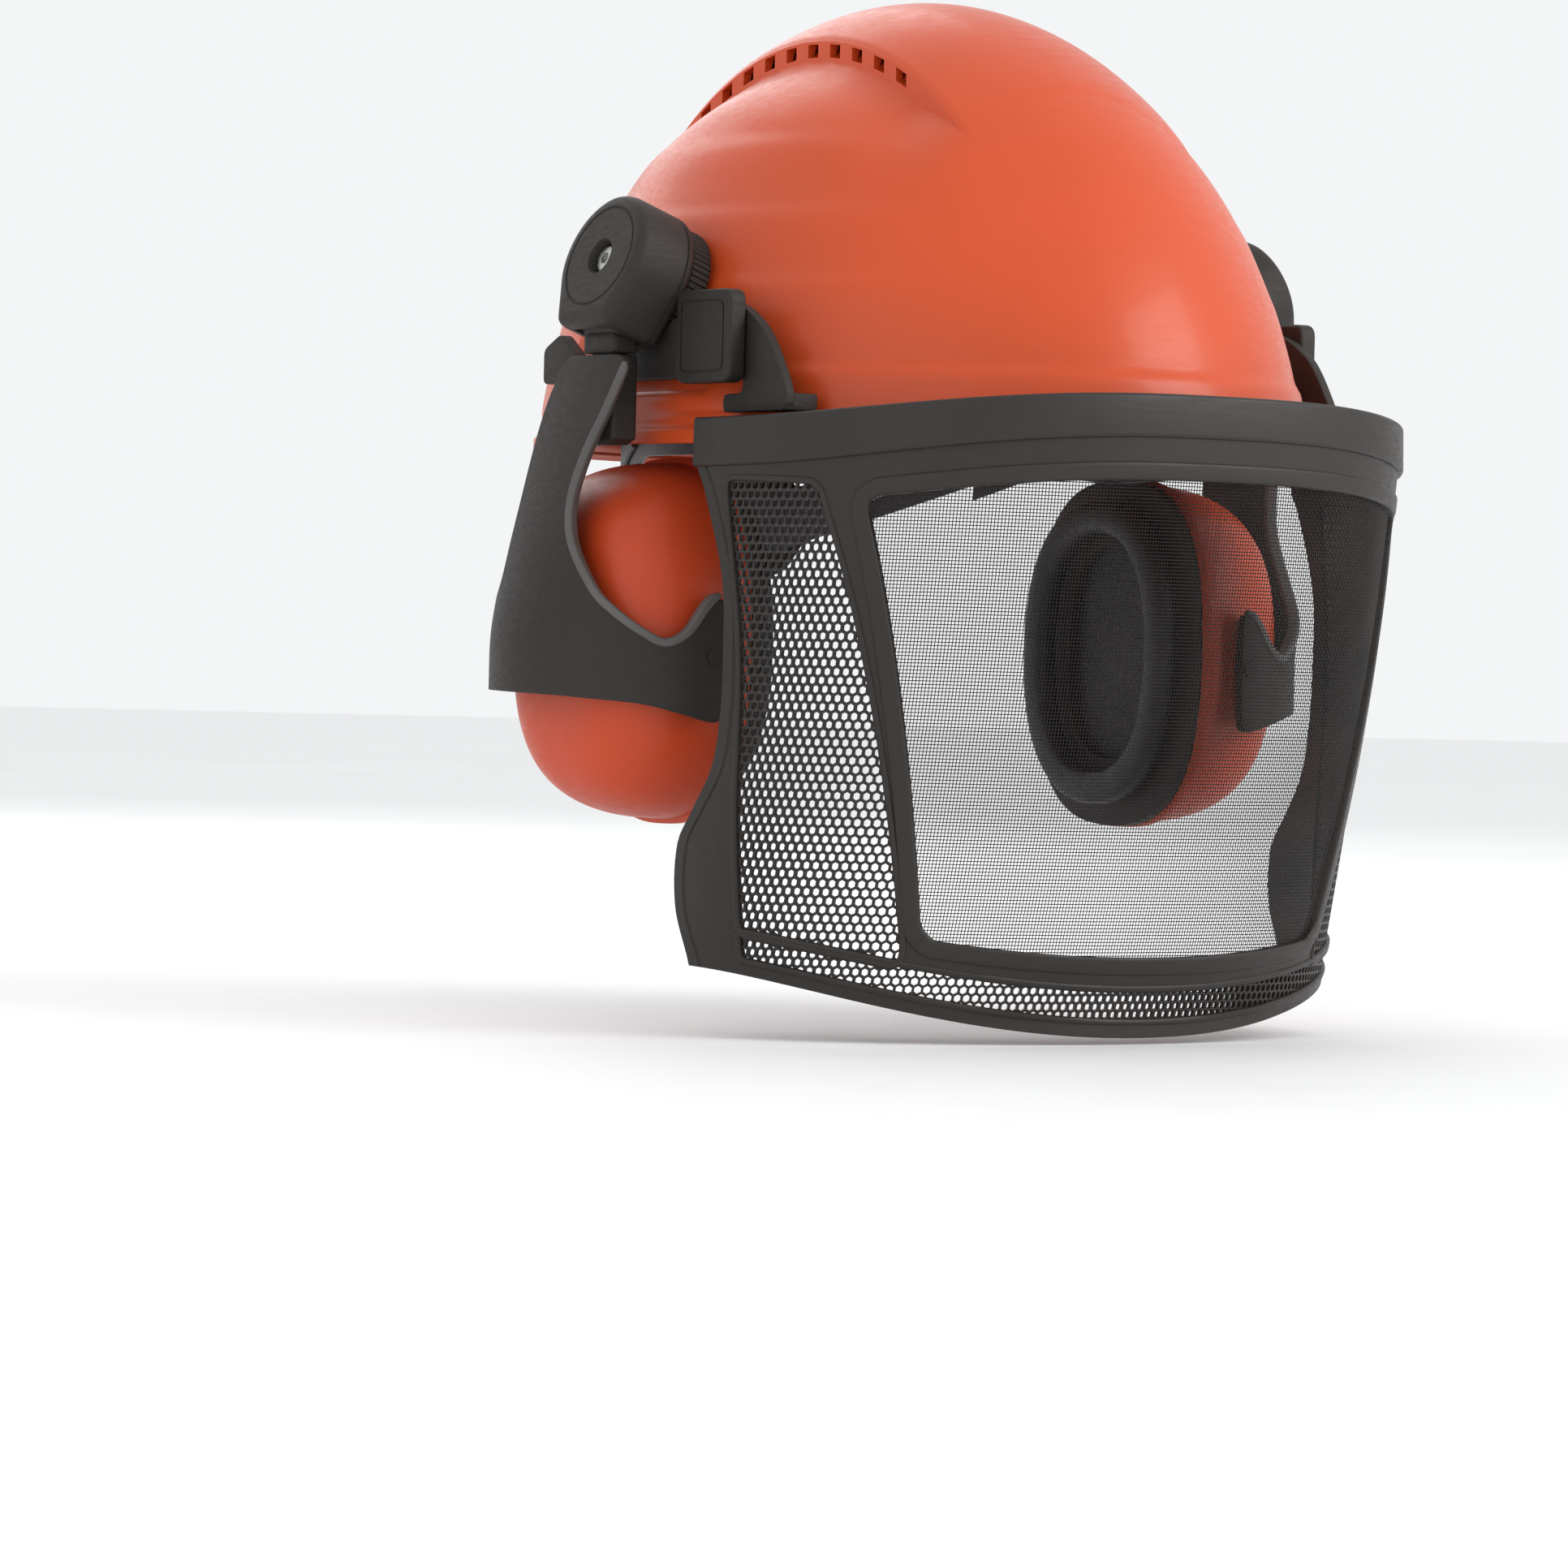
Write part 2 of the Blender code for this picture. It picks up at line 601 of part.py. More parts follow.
def make_muff_arm(label, side):
    rear = [-95, -80, -65, -50, -37]
    limb = [-25, -13, -1, 11, 23, 35]
    front = [47, 58, 68, 78, 87, 95]
    angles = rear + limb + front
    top_edge = [(-95, -57), (-50, -55), (-37, -52), (-25, -48), (35, -48), (47, -56), (58, -62),
                (68, -65), (78, -62), (87, -54), (95, -49)]
    low_edge = [(-95, -80), (-30, -79), (20, -80), (60, -82), (95, -88)]
    limb_levels = [-36.0, -23.5, -10.0, 3.0, 12.0, 19.0]
    rear_edge = [(-36, 21.5), (-23.5, 18.6), (-10, 16.5), (3, 13.2), (12, 8.5), (19, 3.0)]
    front_edge = [(-36, -14.5), (-23.5, -11.3), (-10, -14.5), (3, -21.0), (12, -25.0), (19, -28.0)]
    band_rows = 4

    def point(i, j):
        degrees = angles[i]
        if j <= band_rows:
            low = between(low_edge, degrees)
            z = low + (between(top_edge, degrees) - low) * j / band_rows
            angle = math.radians(degrees)
            out = BAND_CENTRE_OUT + WRAP_OUT * math.cos(angle)
            y = CUP_Y - WRAP_HALF_LENGTH * math.sin(angle)
            if z > -62.0 and abs(degrees) < 80:
                return arm_surface(side, y, z)
            return Vector((side * out, y, z))
        z = limb_levels[j - band_rows - 1]
        share = (i - len(rear)) / (len(limb) - 1)
        y = between(rear_edge, z) * (1 - share) + between(front_edge, z) * share
        return arm_surface(side, y, z)

    def keep(i, j):
        in_limb = len(rear) <= i < len(rear) + len(limb) - 1
        return j < band_rows or in_limb

    arm = sheet("muff_arm_" + label, len(angles), band_rows + 1 + len(limb_levels), point, BLACK,
                keep, flip=side > 0)
    solidify(arm, MUFF_ARM_WALL)
    hub = HubFrame(side)
    pin = hub.at(FOLD_DEPTH, 0, -FOLD_DROP)
    half, wide = NECK
    neck = box("neck_" + label, (pin.x - half, HUB_Y - wide, NECK_Z[0]),
               (pin.x + half, HUB_Y + wide, NECK_Z[1]))
    fuse(arm, neck)
    half = TONGUE[0] + NECK_POCKET_SLACK
    wide = TONGUE[1] + NECK_POCKET_SLACK
    cut(arm, box("neck_pocket_" + label,
                 (pin.x - half, HUB_Y - wide, NECK_Z[0] + NECK_POCKET_FLOOR),
                 (pin.x + half, HUB_Y + wide, NECK_Z[1] + 10.0)))
    cut(arm, pivot_bore("arm_pivot_bore_" + label, side))
    for place, end in (("front", -1), ("rear", 1)):
        inner, outer = [(side * BAND_CENTRE_OUT, CUP_Y + end * reach, PIVOT_Z)
                        for reach in CUP_PIN_REACH]
        cylinder("cup_pin_%s_%s" % (place, label), inner, outer, PIVOT_PIN_RADIUS, BLACK,
                 segments=16)


def oval(side, out, half_width, half_height, segments=32):
    """One upright oval section of the ear cup."""
    points = []
    for i in range(segments):
        y, z = superellipse(2 * math.pi * i / segments, half_width, half_height, CUP_POWER)
        points.append((side * out, CUP_Y + y, CUP_Z + z))
    return points


def make_ear_cup(label, side):
    segments = 32
    depth = [(0.0, 1.0), (0.22, 1.0), (0.48, 0.975), (0.72, 0.9), (0.88, 0.77), (0.97, 0.55)]
    bm = bmesh.new()
    rings = []
    for share, scale in depth:
        out = CUP_OUT[0] + (CUP_OUT[1] - CUP_OUT[0]) * share
        rings.append([bm.verts.new(p) for p in oval(side, out, CUP_HALF_WIDTH * scale,
                                                    CUP_HALF_HEIGHT * scale, segments)])
    tip = bm.verts.new((side * CUP_OUT[1], CUP_Y, CUP_Z))
    for i in range(segments):
        j = (i + 1) % segments
        for first, second in zip(rings, rings[1:]):
            quad = (first[i], first[j], second[j], second[i])
            bm.faces.new(quad if side > 0 else quad[::-1])
        fan = (rings[-1][i], rings[-1][j], tip)
        bm.faces.new(fan if side > 0 else fan[::-1])
    cup = solidify(add_object("ear_cup_" + label, bm, CUP_ORANGE, smooth=60.0), CUP_WALL)
    cut(cup, pivot_bore("cup_pivot_bore_" + label, side))

    plate = loft("cup_backplate_" + label,
                 [oval(side, out, CUP_HALF_WIDTH, CUP_HALF_HEIGHT) for out in PLATE_OUT], BLACK)
    cut(plate, loft("backplate_hole_" + label,
                    [oval(side, out, *PLATE_HOLE) for out in (PLATE_OUT[0] - 5, PLATE_OUT[1] + 5)]))
    loft("cup_foam_" + label, [oval(side, out, *FOAM_SIZE, 24) for out in FOAM_OUT], FOAM)

    near, far = CUSHION_OUT
    round_off = near + CUSHION_EDGE
    profile = [(near, 3.0), (near, 9.0), (round_off, CUSHION_WIDTH), (far, CUSHION_WIDTH),
               (far, 0.0), (round_off, 0.0)]
    sections = []
    segments = 32
    for i in range(segments):
        section = []
        for out, grow in profile:
            y, z = superellipse(2 * math.pi * i / segments, CUSHION_HOLE[0] + grow,
                                CUSHION_HOLE[1] + grow, CUP_POWER)
            section.append((side * out, CUP_Y + y, CUP_Z + z))
        sections.append(section)
    loft("ear_cushion_" + label, sections, FOAM, closed=True)


# ---------------------------------------------------------------- visor

def visor_shape(z):
    """Reach forward and corner power of the visor's outline at height z."""
    t = min(1.0, max(0.0, -z / VISOR_DROP))
    reach = VISOR_REACH_TOP - VISOR_REACH_LOSS * (0.45 * t + 0.55 * t * t)
    return reach, 2.7 - 0.6 * t


def visor_point(angle, z, inward=0.0):
    """A point of the visor's outer surface; angle 0 is the middle of the front."""
    reach, power = visor_shape(z)
    forward, out = superellipse(angle, reach - inward, VISOR_HALF_WIDTH - inward, power)
    return Vector((out, VISOR_BACK_Y - forward, z))


def angle_at_out(out, z):
    return math.asin((out / VISOR_HALF_WIDTH) ** (visor_shape(z)[1] / 2.0))


def angle_at_y(y, z):
    reach, power = visor_shape(z)
    return math.acos((max(0.0, VISOR_BACK_Y - y) / reach) ** (power / 2.0))


REAR_EDGE = [(-175, -51), (-157, -48), (-140, -41), (-122, -41.5), (-112, -48.5), (-100, -56.5),
             (-85, -60), (-67, -61), (-45, -60), (-20, -51), (-10, -45), (0, -41)]
GRILLE_REAR_Y = [(-170, -68), (-117, -66.5), (-65, -68), (-20, -62), (0, -60)]
PILLAR_OUTER = [(-150, 76), (-28, 102), (0, 107)]
PILLAR_INNER = [(-150, 71), (-28, 95.5), (0, 100.5)]

# Heights of the brim's and frame's lines at the side and how far each moves at the front
BRIM_TOP = (0.9, 8.6)
BRIM_BOTTOM = (-13.0, 10.5)
FRAME_TOP = (-13.3, 10.5)
OPENING_TOP = (-17.0, -7.0)
WINDOW_TOP = (-25.5, 10.5)
WINDOW_BOTTOM = (-138.5, -13.5)
BAND_BOTTOM = (-145.5, -16.3)
STRIP_BOTTOM = (-152.5, -17.8)
RIM_BOTTOM = (-157.0, -18.5)


def line_height(line, angle):
    side, rise = line
    return side + rise * math.cos(angle) ** 2


def opening_top(angle):
    """The side grilles' top edge, then the window's, joined on the pillars."""
    degrees = abs(math.degrees(angle))
    share = smoothstep(48.0, 58.0, degrees)
    return (line_height(WINDOW_TOP, angle) * (1 - share) + line_height(OPENING_TOP, angle) * share)


SIDE_STEPS = 4
WINDOW_STEPS = 14
WINDOW_ROWS = 6


def frame_lines(z):
    """Angles of the frame's upright lines at height z, from right to left."""
    rear = angle_at_y(between(REAR_EDGE, z), z)
    grille = angle_at_y(between(GRILLE_REAR_Y, z), z)
    outer = angle_at_out(between(PILLAR_OUTER, z), z)
    inner = angle_at_out(between(PILLAR_INNER, z), z)
    half = [rear, (rear + grille) / 2]
    half += [grille + (outer - grille) * i / SIDE_STEPS for i in range(SIDE_STEPS + 1)]
    half.append(inner)
    window = [inner - 2 * inner * i / WINDOW_STEPS for i in range(1, WINDOW_STEPS)]
    return [-a for a in half] + [-a for a in window] + half[::-1]


FIRST_GRILLE = 2
FIRST_PILLAR = FIRST_GRILLE + SIDE_STEPS
FIRST_WINDOW = FIRST_PILLAR + 1
COLUMN_COUNT = 2 * (FIRST_WINDOW + 1) + WINDOW_STEPS - 1


def frame_row(angle, row):
    """Height of a frame row at this angle: top, openings, band, strip and rim."""
    top = opening_top(angle)
    window_bottom = line_height(WINDOW_BOTTOM, angle)
    if row == 0:
        return line_height(FRAME_TOP, angle)
    if row <= WINDOW_ROWS + 1:
        return top + (window_bottom - top) * (row - 1) / WINDOW_ROWS
    lines = (BAND_BOTTOM, STRIP_BOTTOM, RIM_BOTTOM)
    return line_height(lines[row - WINDOW_ROWS - 2], angle)


ROW_COUNT = WINDOW_ROWS + 5
BAND_ROW = WINDOW_ROWS + 1
STRIP_ROW = WINDOW_ROWS + 2


def frame_point(column, row, inward=0.0, shift=0.0, drop=0.0):
    """A grid point of the frame, settled on its line by a few passes."""
    angle = frame_lines(-80.0)[column]
    for _ in range(6):
        z = frame_row(angle, row)
        angle = frame_lines(z)[column]
    return visor_point(angle + math.radians(shift), frame_row(angle, row) + drop, inward)


def mirrored_column(column):
    return min(column, COLUMN_COUNT - 2 - column)


def frame_keep(column, row):
    near = mirrored_column(column)
    if row == 0 or row == ROW_COUNT - 2 or near < FIRST_GRILLE:
        return True
    if near == FIRST_PILLAR:
        return row <= BAND_ROW
    return near >= FIRST_WINDOW and row == BAND_ROW


def panel(name, columns, rows, depth, wall, finish):
    """A thin panel that fills an opening, a gap clear of the frame all round."""
    first, last = columns
    low_row, high_row = rows
    edge_shift = 0.35
    edge_drop = 0.4

    def point(i, j):
        shift = edge_shift if i == 0 else -edge_shift if i == last - first else 0.0
        drop = -edge_drop if j == 0 else edge_drop if j == high_row - low_row else 0.0
        return frame_point(first + i, low_row + j, depth, shift, drop)

    made = sheet(name, last - first + 1, high_row - low_row + 1, point, finish, flip=True)
    return solidify(made, wall)


def brim_section(angle):
    """The brim's section: an upright band with a flange that reaches back to the shell."""
    top = line_height(BRIM_TOP, angle)
    low = line_height(BRIM_BOTTOM, angle)
    outer = visor_point(angle, 0.0, -BRIM_PROUD)
    inner = visor_point(angle, 0.0, BRIM_WALL - BRIM_PROUD)
    clear = SHELL_HALF_WIDTH + BRIM_CLEARANCE
    length = SHELL_HALF_LENGTH + BRIM_CLEARANCE
    heading = math.atan2(inner.x / clear, -inner.y / length)
    lip = Vector((clear * math.sin(heading), -length * math.cos(heading), 0))
    section = [(outer, low), (outer, top), (lip, top), (lip, top - BRIM_FLANGE),
               (inner, top - BRIM_FLANGE), (inner, low)]
    return [(p.x, p.y, z) for p, z in section]


def make_visor_arm(label, side):
    outline = [(-46, 2.6), (-46, 8), (-56, 8), (-55.7, 14), (-50, 15.5), (-44, 15.5), (-38, 18.0),
               (-35, 24.5), (-38, 31), (-44, 34.5), (-50, 34.8), (-56, 33), (-62, 29.5),
               (-66.5, 26), (-70.5, 21), (-73.4, 16.5), (-76.2, 12), (-78, 8), (-78, 2.6)]
    sections = [[(side * out, y, z) for y, z in outline] for out in ARM_OUT]
    arm = loft("visor_arm_" + label, sections, BLACK)
    foot = loft("visor_foot_" + label,
                [[(side * out, y, z) for out, z in ((inner, FOOT_Z[0]), (ARM_OUT[1], FOOT_Z[0]),
                                                    (ARM_OUT[1], FOOT_Z[1]), (inner, FOOT_Z[1]))]
                 for y, inner in ((-46.0, 98.9), (-62.0, 95.5), (-77.9, 91.0))])
    fuse(arm, foot)
    cut(arm, cylinder("arm_bore_" + label, (side * 90, VISOR_AXIS_Y, VISOR_AXIS_Z),
                      (side * 110, VISOR_AXIS_Y, VISOR_AXIS_Z),
                      VISOR_PIN_RADIUS + PIN_CLEARANCE))


def make_visor():
    for label, side in SIDES:
        make_visor_arm(label, side)
    steps = 30
    sections = [brim_section(math.radians(BRIM_END * (2 * i / steps - 1)))
                for i in range(steps + 1)]
    loft("visor_brim", sections, GREY_BLACK)

    frame = sheet("visor_frame", COLUMN_COUNT, ROW_COUNT, frame_point, BLACK, frame_keep,
                  flip=True)
    solidify(frame, FRAME_WALL)
    last = COLUMN_COUNT - 1
    panel("mesh_screen", (FIRST_WINDOW, last - FIRST_WINDOW), (1, BAND_ROW), MESH_DEPTH,
          MESH_WALL, STEEL)
    panel("side_grille_right", (FIRST_GRILLE, FIRST_PILLAR), (1, STRIP_ROW), GRILLE_DEPTH,
          GRILLE_WALL, BLACK)
    panel("side_grille_left", (last - FIRST_PILLAR, last - FIRST_GRILLE), (1, STRIP_ROW),
          GRILLE_DEPTH, GRILLE_WALL, BLACK)
    panel("bottom_grille", (FIRST_GRILLE, last - FIRST_GRILLE), (STRIP_ROW, STRIP_ROW + 1),
          GRILLE_DEPTH, GRILLE_WALL, BLACK)


make_shell()
make_harness()
for label, side in SIDES:
    make_bracket(label, side)
    make_hub(label, side)
    make_muff_arm(label, side)
    make_ear_cup(label, side)
make_visor()
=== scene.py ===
"""Forestry helmet: the fine surface and the looks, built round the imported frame.

Lengths are in millimetres until a mesh is made. -Y is forward, +X is the wearer's left, +Z
is up. side is -1 for the wearer's right and +1 for the left, and "out" is a distance from
the middle plane towards that side.
"""
import json
import math

import bmesh
import bpy
import numpy as np
from mathutils import Matrix, Vector


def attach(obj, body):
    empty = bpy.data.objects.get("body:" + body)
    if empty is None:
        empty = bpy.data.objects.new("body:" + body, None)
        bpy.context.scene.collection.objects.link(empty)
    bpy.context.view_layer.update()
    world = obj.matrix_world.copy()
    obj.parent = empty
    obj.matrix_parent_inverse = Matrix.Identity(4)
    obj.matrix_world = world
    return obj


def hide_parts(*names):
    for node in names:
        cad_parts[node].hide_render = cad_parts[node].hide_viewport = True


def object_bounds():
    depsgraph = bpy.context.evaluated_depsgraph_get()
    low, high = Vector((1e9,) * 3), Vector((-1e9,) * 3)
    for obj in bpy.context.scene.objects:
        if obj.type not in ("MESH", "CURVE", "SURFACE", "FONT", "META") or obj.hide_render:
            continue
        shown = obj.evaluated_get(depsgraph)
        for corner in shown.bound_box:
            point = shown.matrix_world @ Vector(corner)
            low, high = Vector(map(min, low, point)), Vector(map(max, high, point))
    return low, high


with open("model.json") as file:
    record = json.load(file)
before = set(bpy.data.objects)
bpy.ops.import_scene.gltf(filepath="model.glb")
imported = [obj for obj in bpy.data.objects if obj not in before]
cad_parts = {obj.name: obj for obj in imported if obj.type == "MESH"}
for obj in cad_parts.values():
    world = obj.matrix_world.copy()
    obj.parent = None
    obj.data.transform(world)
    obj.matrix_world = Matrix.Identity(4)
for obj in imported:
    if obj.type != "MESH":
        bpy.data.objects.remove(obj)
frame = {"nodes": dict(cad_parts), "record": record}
cad_box = [[float(v) for v in corner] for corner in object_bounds()]

MM = 0.001
SIDES = (("right", -1), ("left", 1))

# Shell
SHELL_HALF_LENGTH = 134.0
SHELL_HALF_WIDTH = 104.0
SHELL_HEIGHT = 131.0
DOME_POWER = 1.6
VENT_COUNT = 10
VENT_FIRST_Y = -46.0
VENT_STEP = 11.3
VENT_OUT = 41.0
# Each vent's corners: (distance along the crest, drop below its top)
VENT_CORNERS = ((-2.6, 1.6), (2.6, 1.6), (2.6, 5.6), (-2.6, 5.6))
VENT_REACH = (36.5, 46.0)
CREST_STEP = 5.0
CREST_HALF = 41.5
CREST_CORNER = 40.0
CREST_PROUD = 0.45
CREST_ENDS = (-80.0, 100.0)
SHELL_WALL = 2.8
SHELL_RIM = [(-6.0, 1.6), (-5.6, 2.0), (-2.4, 2.0), (-1.8, 1.7), (-1.0, 0.4), (0.0, 0.0)]
SWAGES = ((83.0, 0.7), (61.0, 0.9), (40.0, 0.9))
POCKET_SLOTS = (-16.0, 6.0, 26.0)

# Harness
BAND_HALF_WIDTH = 79.0
BAND_HALF_LENGTH = 99.0
BAND_THICKNESS = 1.6
STRAP_REACH = 97.0
STRAP_FOOT_Z = 5.0
STRAP_TOP_Z = 84.0
NAPE_Z = -24.0

# Visor
VISOR_AXIS_Y = -44.0
VISOR_AXIS_Z = 24.5
VISOR_HALF_WIDTH = 112.0
VISOR_BACK_Y = -39.0
VISOR_REACH = (111.0, 33.0)
VISOR_HEIGHT = 170.0
FRAME_WALL = 2.6
GRILLE_DEPTH = 0.7
GRILLE_WALL = 1.3
SIDE_HOLES = (2.9, 0.74)
STRIP_HOLES = (2.7, 0.72)
WIRE_PITCH = 1.0
WIRE_RADIUS = 0.15
WEAVE = 0.13
MESH_DEPTH = 1.5
BRIM_END = 88.5
BRIM_TOP = (0.9, 8.6)
BRIM_LOW = (-13.5, 10.5)
BRIM_PROUD = 0.8
BRIM_WALL = 3.0
BRIM_FLANGE = 2.5
BRIM_CLEARANCE = 4.5

# Ear muff
HUB_Y = -10.5
HUB_Z = 38.5
HUB_TILT = math.radians(20.0)
HUB_RADIUS = 20.0
FOLD_DROP = 17.0
FOLD_DEPTH = 17.4
CUP_Y = 3.6
CUP_Z = -63.5
CUP_HALF_WIDTH = 40.5
CUP_HALF_HEIGHT = 53.5
CUP_OUT = (84.0, 125.8)
CUP_POWER = 2.6
BAND_CENTRE_OUT = 100.0
WRAP_OUT = 40.0
WRAP_HALF_LENGTH = 45.0
LIMB_FOOT_Z = -62.0
LIMB_HEIGHT = 81.0
ARM_WALL = 3.2
CUP_WALL = 2.4
CUSHION_HALF = (30.5, 42.0)
CUSHION_OUT = 75.3
CUSHION_LIMITS = (70.2, 80.1)
FOAM_HALF = (32.0, 43.0)

# Studio
CAMERA_PLACE = (-1.1785, -1.6182, -0.0727)
CAMERA_TURN = (35.0, 0.95, 1.33)
CAMERA_LENS = 151.23
LAMP_TARGET = Vector((0, -0.02, -0.01))
LAMPS = (("key", (1.3, -1.9, 1.0), 1.4, 30.0), ("fill", (-2.2, -0.9, 0.5), 1.8, 5.0),
         ("back", (0.4, 1.9, 1.3), 1.6, 11.0))
SKY = (0.98, 0.99, 1.0, 1)
SKY_STRENGTH = 0.92


# ---------------------------------------------------------------- materials

class Nodes:
    """Short calls for one material's node tree."""

    def __init__(self, name):
        self.material = bpy.data.materials.new(name)
        self.material.use_nodes = True
        self.tree = self.material.node_tree
        self.shader = self.tree.nodes["Principled BSDF"]
        self.coords = self.tree.nodes.new("ShaderNodeTexCoord").outputs["Object"]

    def add(self, kind, inputs=(), **settings):
        node = self.tree.nodes.new(kind)
        for key, value in settings.items():
            setattr(node, key, value)
        for key, value in dict(inputs).items():
            if isinstance(value, bpy.types.NodeSocket):
                self.tree.links.new(value, node.inputs[key])
            else:
                node.inputs[key].default_value = value
        return node

    def mapped(self, scale, turn=0.0):
        """Object coordinates turned about Z, then scaled."""
        turned = self.add("ShaderNodeMapping", {"Vector": self.coords, "Rotation": (0, 0, turn)})
        return self.add("ShaderNodeMapping", {"Vector": turned.outputs[0],
                                              "Scale": scale}).outputs[0]

    def noise(self, scale, detail=2.0, roughness=0.5, vector=None):
        node = self.add("ShaderNodeTexNoise", {"Vector": vector or self.coords, "Scale": scale,
                                               "Detail": detail, "Roughness": roughness})
        return node.outputs["Fac"]

    def cells(self, scale, feature="F1"):
        node = self.add("ShaderNodeTexVoronoi", {"Vector": self.coords, "Scale": scale},
                        feature=feature)
        return node.outputs["Distance"]

    def waves(self, vector, scale):
        node = self.add("ShaderNodeTexWave", {"Vector": vector, "Scale": scale})
        return node.outputs["Fac"]

    def stretch(self, value, low, high, source=(0.3, 0.7)):
        node = self.add("ShaderNodeMapRange", {"Value": value, "From Min": source[0],
                                               "From Max": source[1], "To Min": low,
                                               "To Max": high})
        return node.outputs[0]

    def sum(self, first, second, operation="ADD"):
        node = self.add("ShaderNodeMath", {0: first, 1: second}, operation=operation)
        return node.outputs[0]

    def blend(self, factor, first, second):
        node = self.add("ShaderNodeMix", {0: factor, 6: first, 7: second}, data_type="RGBA")
        return node.outputs[2]

    def bump(self, height, distance, strength=1.0, under=None):
        inputs = {"Height": height, "Distance": distance, "Strength": strength}
        if under is not None:
            inputs["Normal"] = under
        return self.add("ShaderNodeBump", inputs).outputs[0]

    def finish(self, colour, roughness, normal=None, **values):
        self.tree.links.new(colour, self.shader.inputs["Base Color"])
        self.tree.links.new(roughness, self.shader.inputs["Roughness"])
        if normal is not None:
            self.tree.links.new(normal, self.shader.inputs["Normal"])
        for key, value in values.items():
            self.shader.inputs[key.replace("_", " ")].default_value = value
        return self.material


def shade(colour, factor):
    return (*(min(1.0, c * factor) for c in colour), 1.0)


def moulded(name, colour, roughness, grain, relief, mottle=0.1, coat=0.0):
    """Moulded plastic: soft colour drift, a fine eroded grain, rubbed and dusty patches."""
    n = Nodes(name)
    drift = n.noise(14.0, 3.0)
    dust = n.noise(160.0, 5.0, 0.7)
    rubs = n.noise(60.0, 4.0, 0.6, n.mapped((1.0, 5.0, 14.0)))
    base = n.blend(n.stretch(drift, 0.0, 1.0), shade(colour, 1.0 - mottle),
                   shade(colour, 1.0 + mottle))
    pale = tuple(c * 0.85 + 0.03 for c in colour)
    base = n.blend(n.stretch(dust, 0.0, 0.16, (0.55, 0.8)), base, shade(pale, 1.0))
    rough = n.sum(n.stretch(rubs, roughness - 0.06, roughness + 0.08),
                  n.stretch(dust, 0.0, 0.06, (0.5, 0.8)))
    normal = n.bump(n.noise(grain, 3.0, 0.6), relief)
    return n.finish(base, rough, normal, Coat_Weight=coat, Coat_Roughness=0.12,
                    Specular_IOR_Level=0.32)


def wire_finish(name):
    n = Nodes(name)
    drift = n.noise(40.0, 2.0)
    base = n.blend(n.stretch(drift, 0.0, 1.0), (0.020, 0.018, 0.017, 1), (0.040, 0.036, 0.033, 1))
    return n.finish(base, n.stretch(n.noise(900.0), 0.42, 0.6), Metallic=0.2)


def steel_finish(name):
    n = Nodes(name)
    brushed = n.noise(400.0, 3.0, 0.6, n.mapped((1.0, 12.0, 1.0)))
    base = n.blend(n.stretch(brushed, 0.0, 1.0), (0.42, 0.42, 0.41, 1), (0.66, 0.66, 0.64, 1))
    return n.finish(base, n.stretch(brushed, 0.22, 0.4), n.bump(brushed, 0.00002), Metallic=1.0)


def foam_finish(name, colour):
    """Open-cell foam: small pits with pale rims."""
    n = Nodes(name)
    pits = n.cells(900.0)
    lumps = n.noise(260.0, 3.0)
    base = n.blend(n.stretch(pits, 0.0, 1.0, (0.1, 0.7)), shade(colour, 0.45), shade(colour, 1.3))
    normal = n.bump(pits, 0.0005, 0.9, n.bump(lumps, 0.0004))
    return n.finish(base, n.stretch(lumps, 0.86, 0.98), normal, Sheen_Weight=0.15)


def skin_finish(name):
    """Soft cushion skin with a leather-like grain."""
    n = Nodes(name)
    grain = n.cells(1100.0, "SMOOTH_F1")
    wrinkles = n.noise(170.0, 4.0, 0.6)
    base = n.blend(n.stretch(wrinkles, 0.0, 1.0), (0.010, 0.010, 0.010, 1), (0.024, 0.023, 0.023, 1))
    normal = n.bump(grain, 0.00012, 0.8, n.bump(wrinkles, 0.0003, 0.6))
    return n.finish(base, n.stretch(grain, 0.4, 0.62, (0.2, 0.7)), normal)


def woven_finish(name, colour, turn, pitch, relief=0.00018):
    """Woven tape: ribs across the strap, crossed by finer yarns along it."""
    n = Nodes(name)
    bands_per_metre = 1.0 / (pitch * MM)
    scale = bands_per_metre / 20.0
    vector = n.mapped((1.0, 1.0, 1.0), turn)
    across = n.waves(vector, scale)
    vector = n.mapped((1.0, 1.0, 1.0), turn + math.pi / 2)
    along = n.waves(vector, scale * 1.6)
    yarn = n.sum(across, along, "MULTIPLY")
    fuzz = n.noise(2200.0, 3.0, 0.7)
    base = n.blend(n.stretch(yarn, 0.0, 1.0, (0.1, 0.8)), shade(colour, 0.5), shade(colour, 1.5))
    normal = n.bump(yarn, relief, 1.0, n.bump(fuzz, 0.0001))
    return n.finish(base, n.stretch(fuzz, 0.78, 0.95), normal, Sheen_Weight=0.3)


ORANGE = (0.60, 0.072, 0.015)
CUP_ORANGE = (0.55, 0.058, 0.014)
CHARCOAL = (0.024, 0.020, 0.017)
FRAME_GREY = (0.026, 0.022, 0.019)

